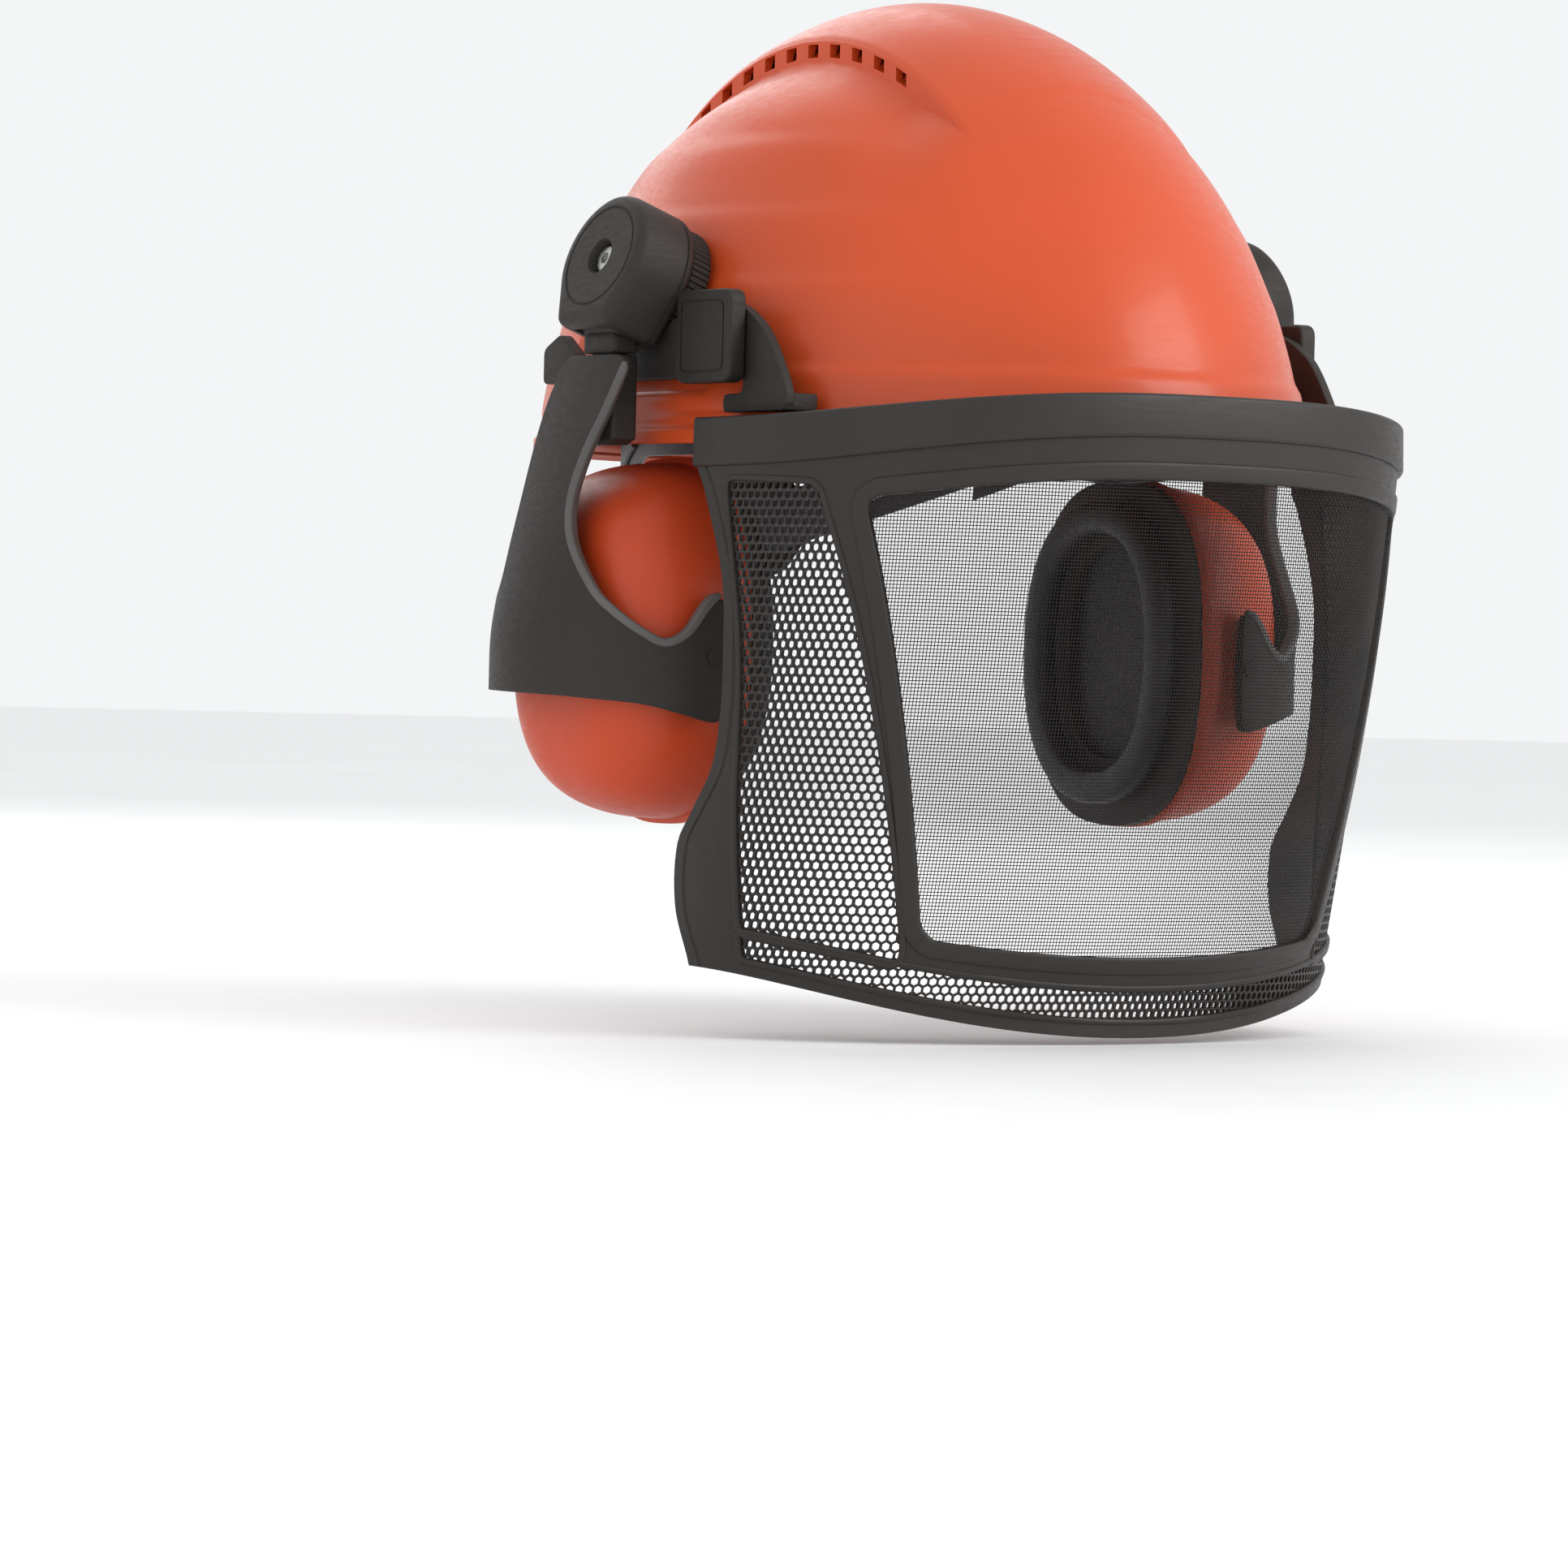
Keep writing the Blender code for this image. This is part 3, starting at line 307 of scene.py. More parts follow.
looks = {
    "shell": moulded("shell_orange", ORANGE, 0.36, 420.0, 0.00002, 0.05, 0.12),
    "cup": moulded("cup_orange", CUP_ORANGE, 0.42, 700.0, 0.00003, 0.06, 0.06),
    "black_plastic": moulded("textured_black", CHARCOAL, 0.56, 1500.0, 0.00010, 0.16),
    "frame_plastic": moulded("satin_grey_black", FRAME_GREY, 0.44, 1100.0, 0.00005, 0.12),
    "mesh": wire_finish("coated_wire"),
    "steel": steel_finish("bright_steel"),
    "foam": foam_finish("grey_foam", (0.06, 0.06, 0.065)),
    "cushion": skin_finish("cushion_skin"),
    "sweatband": woven_finish("brow_knit", (0.022, 0.022, 0.026), 0.0, 1.6, 0.0003),
    "webbing": woven_finish("crown_webbing", (0.05, 0.05, 0.055), math.radians(45.0), 1.4),
    "harness_plastic": moulded("harness_grey", (0.085, 0.085, 0.088), 0.5, 900.0, 0.00006, 0.1),
}
# A paler grey-black for the arm's rolled lip: a painted highlight along that edge, not wear.
painted_lip_highlight = moulded("painted_highlight_edge", (0.105, 0.100, 0.096), 0.40, 1500.0, 0.00012, 0.45)


# ---------------------------------------------------------------- making meshes

def smooth_mesh(mesh, degrees):
    mesh.shade_smooth()
    mesh.set_sharp_from_angle(angle=math.radians(degrees))


def link_object(name, data):
    made = bpy.data.objects.new(name, data)
    bpy.context.scene.collection.objects.link(made)
    return made


def new_object(name, bm, degrees=35.0):
    """Turn a millimetre bmesh into an object in the scene."""
    bmesh.ops.scale(bm, vec=(MM, MM, MM), verts=bm.verts)
    mesh = bpy.data.meshes.new(name)
    bm.to_mesh(mesh)
    bm.free()
    smooth_mesh(mesh, degrees)
    return link_object(name, mesh)


def settle(made, degrees=35.0):
    """Apply the object's modifiers."""
    graph = bpy.context.evaluated_depsgraph_get()
    graph.update()
    mesh = bpy.data.meshes.new_from_object(made.evaluated_get(graph))
    made.modifiers.clear()
    old = made.data
    made.data = mesh
    bpy.data.meshes.remove(old)
    smooth_mesh(mesh, degrees)
    return made


def show(made, body, slot, *nodes):
    """Finish a piece: its material, the body it rides on and the CAD nodes it stands for."""
    made.data.materials.clear()
    made.data.materials.append(looks[slot])
    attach(made, body)
    if nodes:
        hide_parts(*nodes)
    return made


def join_rings(bm, sections, closed=False, capped=True):
    """Quads between matching rings of points, with a cap at each end of an open run."""
    rings = [[bm.verts.new(point) for point in section] for section in sections]
    count = len(rings[0])
    for first, second in zip(rings, rings[1:] + rings[:1] if closed else rings[1:]):
        for i in range(count):
            j = (i + 1) % count
            bm.faces.new((first[i], first[j], second[j], second[i]))
    if capped and not closed:
        bm.faces.new(rings[0][::-1])
        bm.faces.new(rings[-1])
    return rings


def loft(name, sections, closed=False, degrees=35.0):
    bm = bmesh.new()
    join_rings(bm, sections, closed)
    bmesh.ops.recalc_face_normals(bm, faces=bm.faces)
    return new_object(name, bm, degrees)


def cylinder(name, start, end, radius, segments=48):
    start, end = Vector(start), Vector(end)
    bm = bmesh.new()
    bmesh.ops.create_cone(bm, cap_ends=True, segments=segments, radius1=radius,
                          radius2=radius, depth=(end - start).length)
    turn = Vector((0, 0, 1)).rotation_difference(end - start).to_matrix()
    bmesh.ops.rotate(bm, matrix=turn, verts=bm.verts)
    bmesh.ops.translate(bm, vec=(start + end) / 2, verts=bm.verts)
    return new_object(name, bm)


def cube(name, size, centre):
    bm = bmesh.new()
    bmesh.ops.create_cube(bm, size=1.0)
    bmesh.ops.scale(bm, vec=size, verts=bm.verts)
    bmesh.ops.translate(bm, vec=centre, verts=bm.verts)
    return new_object(name, bm)


def post(name, middle, half, corner, levels):
    """An upright block with rounded corners: levels are (height, size share) pairs."""
    flat = rounded_box((-half[0], -half[1]), half, corner, 4)
    return loft(name, [[Vector((middle.x + p.x * share, middle.y + p.y * share, z)) for p in flat]
                       for z, share in levels], degrees=40.0)


def slab(name, columns, rows, outer, inner, degrees=35.0):
    """A closed plate between two grids of points, given as functions of (column, row)."""
    bm = bmesh.new()
    layers = []
    for surface in (outer, inner):
        layers.append([[bm.verts.new(surface(i, j)) for j in range(rows)]
                       for i in range(columns)])
    top, under = layers
    for i in range(columns - 1):
        for j in range(rows - 1):
            bm.faces.new((top[i][j], top[i + 1][j], top[i + 1][j + 1], top[i][j + 1]))
            bm.faces.new((under[i][j + 1], under[i + 1][j + 1], under[i + 1][j], under[i][j]))
    edge = [(i, 0) for i in range(columns)]
    edge += [(columns - 1, j) for j in range(1, rows)]
    edge += [(i, rows - 1) for i in range(columns - 2, -1, -1)]
    edge += [(0, j) for j in range(rows - 2, 0, -1)]
    for (a, b), (c, d) in zip(edge, edge[1:] + edge[:1]):
        bm.faces.new((top[c][d], top[a][b], under[a][b], under[c][d]))
    bmesh.ops.recalc_face_normals(bm, faces=bm.faces)
    return new_object(name, bm, degrees)


def solidify(made, wall):
    thick = made.modifiers.new("wall", "SOLIDIFY")
    thick.thickness = wall * MM
    thick.offset = -1.0
    thick.use_even_offset = True
    return made


def bevel(made, width, segments=3, degrees=50.0):
    edge = made.modifiers.new("edge", "BEVEL")
    edge.width = width * MM
    edge.segments = segments
    edge.limit_method = "ANGLE"
    edge.angle_limit = math.radians(degrees)
    edge.use_clamp_overlap = True
    return made


def subdivide(made, levels):
    fine = made.modifiers.new("fine", "SUBSURF")
    fine.levels = levels
    fine.render_levels = levels
    return made


def combine(made, other, operation="DIFFERENCE"):
    """Cut or join two meshes at once, and remove the second."""
    joined = made.modifiers.new("cut", "BOOLEAN")
    joined.operation = operation
    joined.object = other
    joined.solver = "EXACT"
    settle(made)
    old = other.data
    bpy.data.objects.remove(other)
    bpy.data.meshes.remove(old)
    return made


def smoothstep(low, high, value):
    t = min(1.0, max(0.0, (value - low) / (high - low)))
    return t * t * (3.0 - 2.0 * t)


def hill(centre, half, value):
    """1 at the centre, 0 beyond half on either side."""
    return 1.0 - smoothstep(0.0, half, abs(value - centre))


def between(table, value):
    return float(np.interp(value, [p[0] for p in table], [p[1] for p in table]))


def curved(table, value):
    """Smooth interpolation through a short list of (position, result) pairs."""
    spots = [p[0] for p in table]
    k = int(np.clip(np.searchsorted(spots, value) - 1, 0, len(table) - 2))
    p0, p1, p2, p3 = (table[min(max(k + d, 0), len(table) - 1)] for d in (-1, 0, 1, 2))
    t = min(1.0, max(0.0, (value - p1[0]) / (p2[0] - p1[0])))
    step = p2[0] - p1[0]
    m1 = (p2[1] - p0[1]) / max(1e-6, p2[0] - p0[0]) * step
    m2 = (p3[1] - p1[1]) / max(1e-6, p3[0] - p1[0]) * step
    return ((2 * t ** 3 - 3 * t ** 2 + 1) * p1[1] + (t ** 3 - 2 * t ** 2 + t) * m1
            + (3 * t ** 2 - 2 * t ** 3) * p2[1] + (t ** 3 - t ** 2) * m2)


def superellipse(angle, half_width, half_height, power):
    c, s = math.cos(angle), math.sin(angle)
    return (half_width * math.copysign(abs(c) ** (2.0 / power), c),
            half_height * math.copysign(abs(s) ** (2.0 / power), s))


def rounded(points, radius, steps=5):
    """A flat outline with its corners turned into short curves."""
    made = []
    count = len(points)
    for k in range(count):
        before, here, after = (Vector(points[(k + d) % count]) for d in (-1, 0, 1))
        reach = min(radius, 0.48 * (before - here).length, 0.48 * (after - here).length)
        start = here + (before - here).normalized() * reach
        end = here + (after - here).normalized() * reach
        for i in range(steps + 1):
            t = i / steps
            made.append(start * (1 - t) ** 2 + here * 2 * t * (1 - t) + end * t * t)
    return made


def rounded_box(low, high, radius, steps):
    return rounded([low, (high[0], low[1]), high, (low[0], high[1])], radius, steps)


# ---------------------------------------------------------------- shell

def crest_share(y):
    """Where along the shell the crest stands clear of the shoulders beside it."""
    return smoothstep(-80.0, -56.0, y) * (1.0 - smoothstep(84.0, 102.0, y))


def shell_relief(x, y, z):
    """How far the shell's moulded form stands out from the plain dome."""
    out = abs(x)
    shoulder = -CREST_STEP * crest_share(y) * (1.0 - smoothstep(46.0, 68.0, out))
    shoulder *= smoothstep(50.0, 80.0, z)
    flank = smoothstep(50.0, 72.0, out) * (1.0 - smoothstep(70.0, 100.0, abs(y)))
    swages = 0.0
    for level, height in SWAGES:
        swages += height * (smoothstep(level - 14.0, level - 1.0, z)
                            - smoothstep(level - 1.0, level + 5.0, z))
    heading = math.degrees(math.atan2(out / SHELL_HALF_WIDTH, -y / SHELL_HALF_LENGTH))
    brow = 1.3 * (1.0 - smoothstep(13.0, 18.0, z)) * (1.0 - smoothstep(58.0, 72.0, heading))
    pocket = -1.6 * smoothstep(8.0, 10.0, z) * (1.0 - smoothstep(27.0, 29.0, z))
    pocket *= smoothstep(-34.0, -31.0, y) * (1.0 - smoothstep(38.0, 41.0, y))
    pocket *= smoothstep(70.0, 80.0, out)
    slots = sum(-0.9 * hill(centre, 1.4, y) for centre in POCKET_SLOTS)
    slots *= smoothstep(8.0, 10.0, z) * (1.0 - smoothstep(25.0, 27.0, z))
    slots *= smoothstep(70.0, 80.0, out)
    gutter = -0.9 * hill(3.4, 2.0, z) * smoothstep(55.0, 75.0, heading)
    return shoulder + swages * flank + brow + pocket + slots + gutter


def dome_height(x, y):
    """Height of the plain dome above a point inside its rim."""
    share = (x / SHELL_HALF_WIDTH) ** 2 + (y / SHELL_HALF_LENGTH) ** 2
    return SHELL_HEIGHT * (1.0 - share) ** (1.0 / DOME_POWER)


def make_crest(shell):
    """The raised middle of the shell: a cap whose skirts hold the two rows of vents."""
    front, rear = CREST_ENDS
    inner = [CREST_HALF * (2 * i / 44 - 1) for i in range(45)]
    edge = [40.2, 40.9, 41.3, CREST_HALF]
    across = [-x for x in edge[::-1]] + [x for x in inner if abs(x) < CREST_CORNER] + edge
    along = [front + (rear - front) * j / 90 for j in range(91)]

    def top(i, j):
        x, y = across[i], along[j]
        ends = smoothstep(0.0, 3.0, min(y - front, rear - y))
        corner = 2 * CREST_PROUD * smoothstep(CREST_CORNER, CREST_HALF, abs(x)) ** 2
        return (x, y, dome_height(x, y) + (CREST_PROUD - corner) * ends)

    def under(i, j):
        x, y = across[i], along[j]
        skirt = smoothstep(38.6, 39.4, abs(x))
        return (x, y, dome_height(x, y) - 1.5 - (CREST_STEP + 0.4) * crest_share(y) * skirt)

    combine(shell, slab("crest_cap", len(across), len(along), top, under, 30.0), "UNION")
    vents = bmesh.new()
    for _, side in SIDES:
        for k in range(VENT_COUNT):
            y = VENT_FIRST_Y + VENT_STEP * k
            corners = [(y + dy, dome_height(VENT_OUT, y + dy) - drop * crest_share(y))
                       for dy, drop in VENT_CORNERS]
            join_rings(vents, [[(side * out, *corner) for corner in corners] for out in VENT_REACH])
    bmesh.ops.recalc_face_normals(vents, faces=vents.faces)
    combine(shell, new_object("vent_windows", vents))


def dome_scale(z):
    return math.sqrt(max(0.0, 1.0 - (max(z, 0.0) / SHELL_HEIGHT) ** DOME_POWER))


def shell_out(y, z):
    scale = dome_scale(z)
    return SHELL_HALF_WIDTH * scale * math.sqrt(1.0 - (y / (SHELL_HALF_LENGTH * scale)) ** 2)


def make_shell():
    columns = 288
    dome_rows = 112

    def base(i, j):
        angle = 2.0 * math.pi * i / columns
        if j < len(SHELL_RIM):
            z, flare = SHELL_RIM[j]
            scale = 1.0
        else:
            rise = math.radians(90.0) * (j - len(SHELL_RIM) + 1) / dome_rows
            z = SHELL_HEIGHT * math.sin(rise) ** (2.0 / DOME_POWER)
            scale = math.cos(rise)
            flare = 0.0
        return Vector(((SHELL_HALF_WIDTH * scale + flare) * math.sin(angle),
                       -(SHELL_HALF_LENGTH * scale + flare) * math.cos(angle), z))

    def point(i, j):
        spot = base(i, j)
        steep = DOME_POWER / 2 * (max(spot.z, 0.0) / SHELL_HEIGHT) ** (DOME_POWER - 1)
        normal = Vector((spot.x / SHELL_HALF_WIDTH ** 2, spot.y / SHELL_HALF_LENGTH ** 2,
                         steep / SHELL_HEIGHT)).normalized()
        return spot + normal * shell_relief(*spot)

    rows = len(SHELL_RIM) + dome_rows - 1
    bm = bmesh.new()
    highest = join_rings(bm, [[point(i, j) for i in range(columns)] for j in range(rows)],
                         capped=False)[-1]
    top = bm.verts.new((0.0, 0.0, SHELL_HEIGHT - CREST_STEP))
    for first, second in zip(highest, highest[1:] + highest[:1]):
        bm.faces.new((first, second, top))
    shell = settle(solidify(new_object("shell_surface", bm, 40.0), SHELL_WALL))
    make_crest(shell)
    smooth_mesh(shell.data, 40.0)
    show(shell, "root", "shell", "helmet_shell")


# ---------------------------------------------------------------- visor surface

REAR_EDGE = [(-175, -51), (-157, -48), (-140, -41), (-122, -41.5), (-112, -48.5), (-100, -56.5),
             (-85, -60), (-67, -61), (-45, -60), (-20, -51), (-10, -45), (0, -41)]
GRILLE_REAR_Y = [(-170, -68), (-117, -66.5), (-65, -68), (-20, -62), (0, -60)]
PILLAR_OUTER = [(-150, 76), (-28, 102), (0, 107)]
PILLAR_INNER = [(-150, 71), (-28, 95.5), (0, 100.5)]
FRAME_TOP = (-13.3, 10.5)
GRILLE_TOP = (-17.0, -7.0)
WINDOW_TOP = (-25.5, 10.5)
WINDOW_BOTTOM = (-138.5, -13.5)
BAND_BOTTOM = (-145.5, -16.3)
STRIP_BOTTOM = (-152.5, -17.8)
RIM_BOTTOM = (-157.0, -18.5)
# Rim profiles: (distance outside the opening's edge, depth behind the visor's face)
BEZEL = [(0.0, 2.3), (0.0, 0.1), (0.12, -0.35), (0.5, -0.62), (1.1, -0.7), (4.1, -0.7),
         (4.7, -0.62), (5.1, -0.35), (5.2, 0.1), (5.2, 1.0)]
BEAD = [(-0.5, 1.5), (-0.5, 0.2), (-0.2, -0.3), (0.4, -0.5), (1.1, -0.45), (1.5, -0.1), (1.6, 0.6)]


def visor_shape(z):
    """Reach forward and corner power of the visor's outline at height z."""
    t = min(1.0, max(0.0, -z / VISOR_HEIGHT))
    return VISOR_REACH[0] - VISOR_REACH[1] * (0.45 * t + 0.55 * t * t), 2.7 - 0.6 * t


def visor_point(angle, z, inward=0.0):
    reach, power = visor_shape(z)
    forward, out = superellipse(angle, reach - inward, VISOR_HALF_WIDTH - inward, power)
    return Vector((out, VISOR_BACK_Y - forward, z))


# Heights that hang on each other are found by starting here and fitting them a few times
MIDDLE_Z = -80.0
FITS = 8
TABLE_ANGLES = np.radians(np.linspace(0.0, 90.0, 181))
TABLE_HEIGHTS = np.linspace(-180.0, 12.0, 49)


def arc_table():
    """Distance round the visor from its middle, for each height and angle."""
    table = []
    for z in TABLE_HEIGHTS:
        points = np.array([visor_point(a, z) for a in TABLE_ANGLES])
        steps = np.linalg.norm(np.diff(points, axis=0), axis=1)
        table.append(np.concatenate([[0.0], np.cumsum(steps)]))
    return np.array(table)


ARCS = arc_table()


def arc_row(z):
    place = np.interp(z, TABLE_HEIGHTS, np.arange(len(TABLE_HEIGHTS)))
    low = int(min(place, len(TABLE_HEIGHTS) - 2))
    share = place - low
    return ARCS[low] * (1 - share) + ARCS[low + 1] * share


def angle_of(u, z):
    return math.copysign(float(np.interp(abs(u), arc_row(z), TABLE_ANGLES)), u)


def arc_of(angle, z):
    return float(np.interp(angle, TABLE_ANGLES, arc_row(z)))


def on_visor(u, z, inward=0.0):
    """A point u millimetres round the visor from its middle."""
    return visor_point(angle_of(u, z), z, inward)


def arc_at_y(y, z):
    reach, power = visor_shape(z)
    return arc_of(math.acos((max(0.0, VISOR_BACK_Y - y) / reach) ** (power / 2.0)), z)


def arc_at_out(out, z):
    return arc_of(math.asin((out / VISOR_HALF_WIDTH) ** (visor_shape(z)[1] / 2.0)), z)


def line_height(line, angle):
    return line[0] + line[1] * math.cos(angle) ** 2


def rear_arc(z):
    return arc_at_y(curved(REAR_EDGE, z), z)


def grille_arc(z):
    return arc_at_y(curved(GRILLE_REAR_Y, z), z)


def pillar_outer_arc(z):
    return arc_at_out(between(PILLAR_OUTER, z), z)


def pillar_inner_arc(z):
    return arc_at_out(between(PILLAR_INNER, z), z)


class Region:
    """A four-sided stretch of the visor between two arcs and two height lines."""

    def __init__(self, left, right, bottom, top, radius):
        self.left, self.right = left, right
        self.bottom, self.top = bottom, top
        self.radius = radius

    def spot(self, s, t, grow=0.0):
        """(u, z) for shares s across and t up, with the region grown all round."""
        z = MIDDLE_Z
        for _ in range(FITS):
            left, right = self.left(z) - grow, self.right(z) + grow
            u = left + (right - left) * s
            angle = angle_of(u, z)
            low = line_height(self.bottom, angle) - grow
            high = line_height(self.top, angle) + grow
            z = low + (high - low) * t
        wide, tall = right - left, high - low
        dx, dz = min(s, 1 - s) * wide, min(t, 1 - t) * tall
        radius = max(0.3, self.radius + grow)
        if dx < radius and dz < radius and self.radius > 0:
            away = Vector((radius - dx, radius - dz))
            pulled = away.normalized() * max(away) if away.length > 0 else away
            move = pulled - away
            u += move.x * (-1 if s < 0.5 else 1)
            z += move.y * (-1 if t < 0.5 else 1)
        return u, z

    def outline(self, across, up, grow=0.0):
        """Points round the region's edge, closer together at its corners."""
        s_list, t_list = edge_shares(across), edge_shares(up)
        loop = [(s, 0.0) for s in s_list[:-1]] + [(1.0, t) for t in t_list[:-1]]
        loop += [(s, 1.0) for s in s_list[:0:-1]] + [(0.0, t) for t in t_list[:0:-1]]
        return [self.spot(s, t, grow) for s, t in loop]


def edge_shares(count):
    """Shares from 0 to 1 that crowd towards both ends."""
    return [0.5 - 0.5 * math.cos(math.pi * i / count) for i in range(count + 1)]


window = Region(lambda z: -pillar_inner_arc(z), pillar_inner_arc, WINDOW_BOTTOM, WINDOW_TOP, 5.0)
strip = Region(lambda z: -grille_arc(z), grille_arc, STRIP_BOTTOM, BAND_BOTTOM, 1.5)
side_openings = {
    -1: Region(lambda z: -grille_arc(z), lambda z: -pillar_outer_arc(z), BAND_BOTTOM, GRILLE_TOP,
               3.0),
    1: Region(pillar_outer_arc, grille_arc, BAND_BOTTOM, GRILLE_TOP, 3.0),
}


def region_slab(name, region, columns, rows, outer, inner, grow=0.0):
    s_list, t_list = edge_shares(columns), edge_shares(rows)
    spots = [[region.spot(s, t, grow) for t in t_list] for s in s_list]
    return slab(name, columns + 1, rows + 1,
                lambda i, j: on_visor(*spots[i][j], outer),
                lambda i, j: on_visor(*spots[i][j], inner))


def swept_ring(name, spots, profile):
    """A rim round an outline: profile points are (distance outside the edge, depth)."""
    count = len(spots)
    sections = []
    for k in range(count):
        ahead, behind = Vector(spots[(k + 1) % count]), Vector(spots[k - 1])
        along = (ahead - behind).normalized()
        outward = Vector((along.y, -along.x))
        here = Vector(spots[k])
        sections.append([on_visor(*(here + outward * offset), depth) for offset, depth in profile])
    return loft(name, sections, closed=True, degrees=50.0)


def hex_lattice(name, inside, box, pitch, hole):
    """A plate of six-sided holes over the stretch of the visor where inside(u, z) is true."""
    bm = bmesh.new()
    corners = {}

    def vertex(u, z, inward):
        key = (round(u, 2), round(z, 2), inward)
        if key not in corners:
            corners[key] = bm.verts.new(on_visor(u, z, inward))
        return corners[key]

    row_step = pitch * math.sqrt(3.0) / 2
    radius = pitch / math.sqrt(3.0)
    (u_low, u_high), (z_low, z_high) = box
    for j in range(int((z_high - z_low) / row_step) + 1):
        z = z_low + j * row_step
        for i in range(int((u_high - u_low) / pitch) + 1):
            u = u_low + (i + 0.5 * (j % 2)) * pitch
            if not inside(u, z):
                continue
            rings = []
            for size in (radius, radius * hole):
                for inward in (GRILLE_DEPTH, GRILLE_DEPTH + GRILLE_WALL):
                    rings.append([vertex(u + size * math.sin(math.pi / 3 * k),
                                         z + size * math.cos(math.pi / 3 * k), inward)
                                  for k in range(6)])
            outer_top, outer_under, hole_top, hole_under = rings
            for k in range(6):
                m = (k + 1) % 6
                bm.faces.new((outer_top[k], outer_top[m], hole_top[m], hole_top[k]))
                bm.faces.new((outer_under[m], outer_under[k], hole_under[k], hole_under[m]))
                bm.faces.new((hole_top[k], hole_top[m], hole_under[m], hole_under[k]))
    open_edges = [e for e in bm.edges if len(e.link_faces) == 1]
    bmesh.ops.bridge_loops(bm, edges=open_edges)
    bmesh.ops.recalc_face_normals(bm, faces=bm.faces)
    return new_object(name, bm, 30.0)


def make_frame():
    """The visor's frame: a curved plate with its rear and lower edge lined, then cut open."""
    near = [0.0, 0.5, 1.2, 4.4, 4.9, 5.4, 5.9, 8.0, 11.0]
    low = [0.0, 0.4, 1.0, 2.4, 3.2]
    middle_columns = 96
    middle_rows = 56

    def shares(edges_low, edges_high, middle, length):
        first = [e / length for e in edges_low]
        last = [1 - e / length for e in edges_high[::-1]]
        run = [first[-1] + (last[0] - first[-1]) * k / middle for k in range(1, middle)]
        return first + run + last

    columns = len(near) * 2 + middle_columns - 1
    rows = len(low) * 2 + middle_rows - 1
    spots = {}
    for i in range(columns):
        for j in range(rows):
            z = MIDDLE_Z
            for _ in range(FITS):
                reach = rear_arc(z)
                s = shares(near, near, middle_columns, 2 * reach)[i]
                u = -reach + 2 * reach * s
                angle = angle_of(u, z)
                bottom = line_height(RIM_BOTTOM, angle)
                top = line_height(FRAME_TOP, angle)
                t = shares(low, low, middle_rows, top - bottom)[j]
                z = bottom + (top - bottom) * t
            spots[i, j] = (u, z)

    def depth(i, j):
        column = min(i, columns - 1 - i)
        edge = 0.0
        if column == 0 or j == 0:
            edge = 0.5
        elif column == 4 or column == 5:
            edge = 0.45
        return edge

    frame_plate = slab("frame_plate", columns, rows,
                       lambda i, j: on_visor(*spots[i, j], depth(i, j)),
                       lambda i, j: on_visor(*spots[i, j], FRAME_WALL - 0.3 * (i == 0)))
    combine(frame_plate, region_slab("window_cut", window, 40, 24, -4.0, 8.0))
    combine(frame_plate, region_slab("strip_cut", strip, 60, 6, -4.0, 8.0))
    for region in side_openings.values():
        combine(frame_plate, region_slab("side_cut", region, 16, 24, -4.0, 8.0))
    smooth_mesh(frame_plate.data, 32.0)
    show(frame_plate, "visor", "frame_plastic", "visor_frame")


def make_rims():
    rims = [("window_bezel", window.outline(64, 40), BEZEL),
            ("strip_bead", strip.outline(120, 8), BEAD)]
    rims += [("grille_bead_" + label, side_openings[side].outline(24, 44), BEAD)
             for label, side in SIDES]
    for name, outline, profile in rims:
        show(swept_ring(name, outline, profile), "visor", "frame_plastic")


GRILLE_MARGIN = 0.9


def between_lines(low, high, u, z, margin):
    angle = angle_of(u, z)
    return line_height(low, angle) - margin < z < line_height(high, angle) + margin


def in_strip(u, z):
    return (abs(u) < grille_arc(z) + GRILLE_MARGIN
            and between_lines(STRIP_BOTTOM, BAND_BOTTOM, u, z, GRILLE_MARGIN))


def in_side(side, u, z):
    return (pillar_outer_arc(z) - GRILLE_MARGIN < side * u < grille_arc(z) + GRILLE_MARGIN
            and between_lines(BAND_BOTTOM, GRILLE_TOP, u, z, GRILLE_MARGIN))


def make_grilles():
    for label, side in SIDES:
        u_range = (60.0, 190.0) if side > 0 else (-190.0, -60.0)
        grille = hex_lattice("hex_grille_" + label, lambda u, z: in_side(side, u, z),
                             (u_range, (-172.0, -10.0)), *SIDE_HOLES)
        show(grille, "visor", "frame_plastic", "side_grille_" + label)
    grille = hex_lattice("hex_grille_bottom", in_strip, ((-190.0, 190.0), (-178.0, -140.0)),
                         *STRIP_HOLES)
    show(grille, "visor", "frame_plastic", "bottom_grille")


def wires(name, paths):
    """Thin three-sided wires along lists of points, each point with its outward direction."""
    bm = bmesh.new()
    for path in paths:
        rings = []
        for k, (here, outward) in enumerate(path):
            along = (path[min(k + 1, len(path) - 1)][0] - path[max(k - 1, 0)][0]).normalized()
            across = along.cross(outward)
            rings.append([here + outward * (WIRE_RADIUS * math.sin(a))
                          + across * (WIRE_RADIUS * math.cos(a))
                          for a in (math.radians(turn) for turn in (90.0, 210.0, 330.0))])
        join_rings(bm, rings)
    return new_object(name, bm, 89.0)


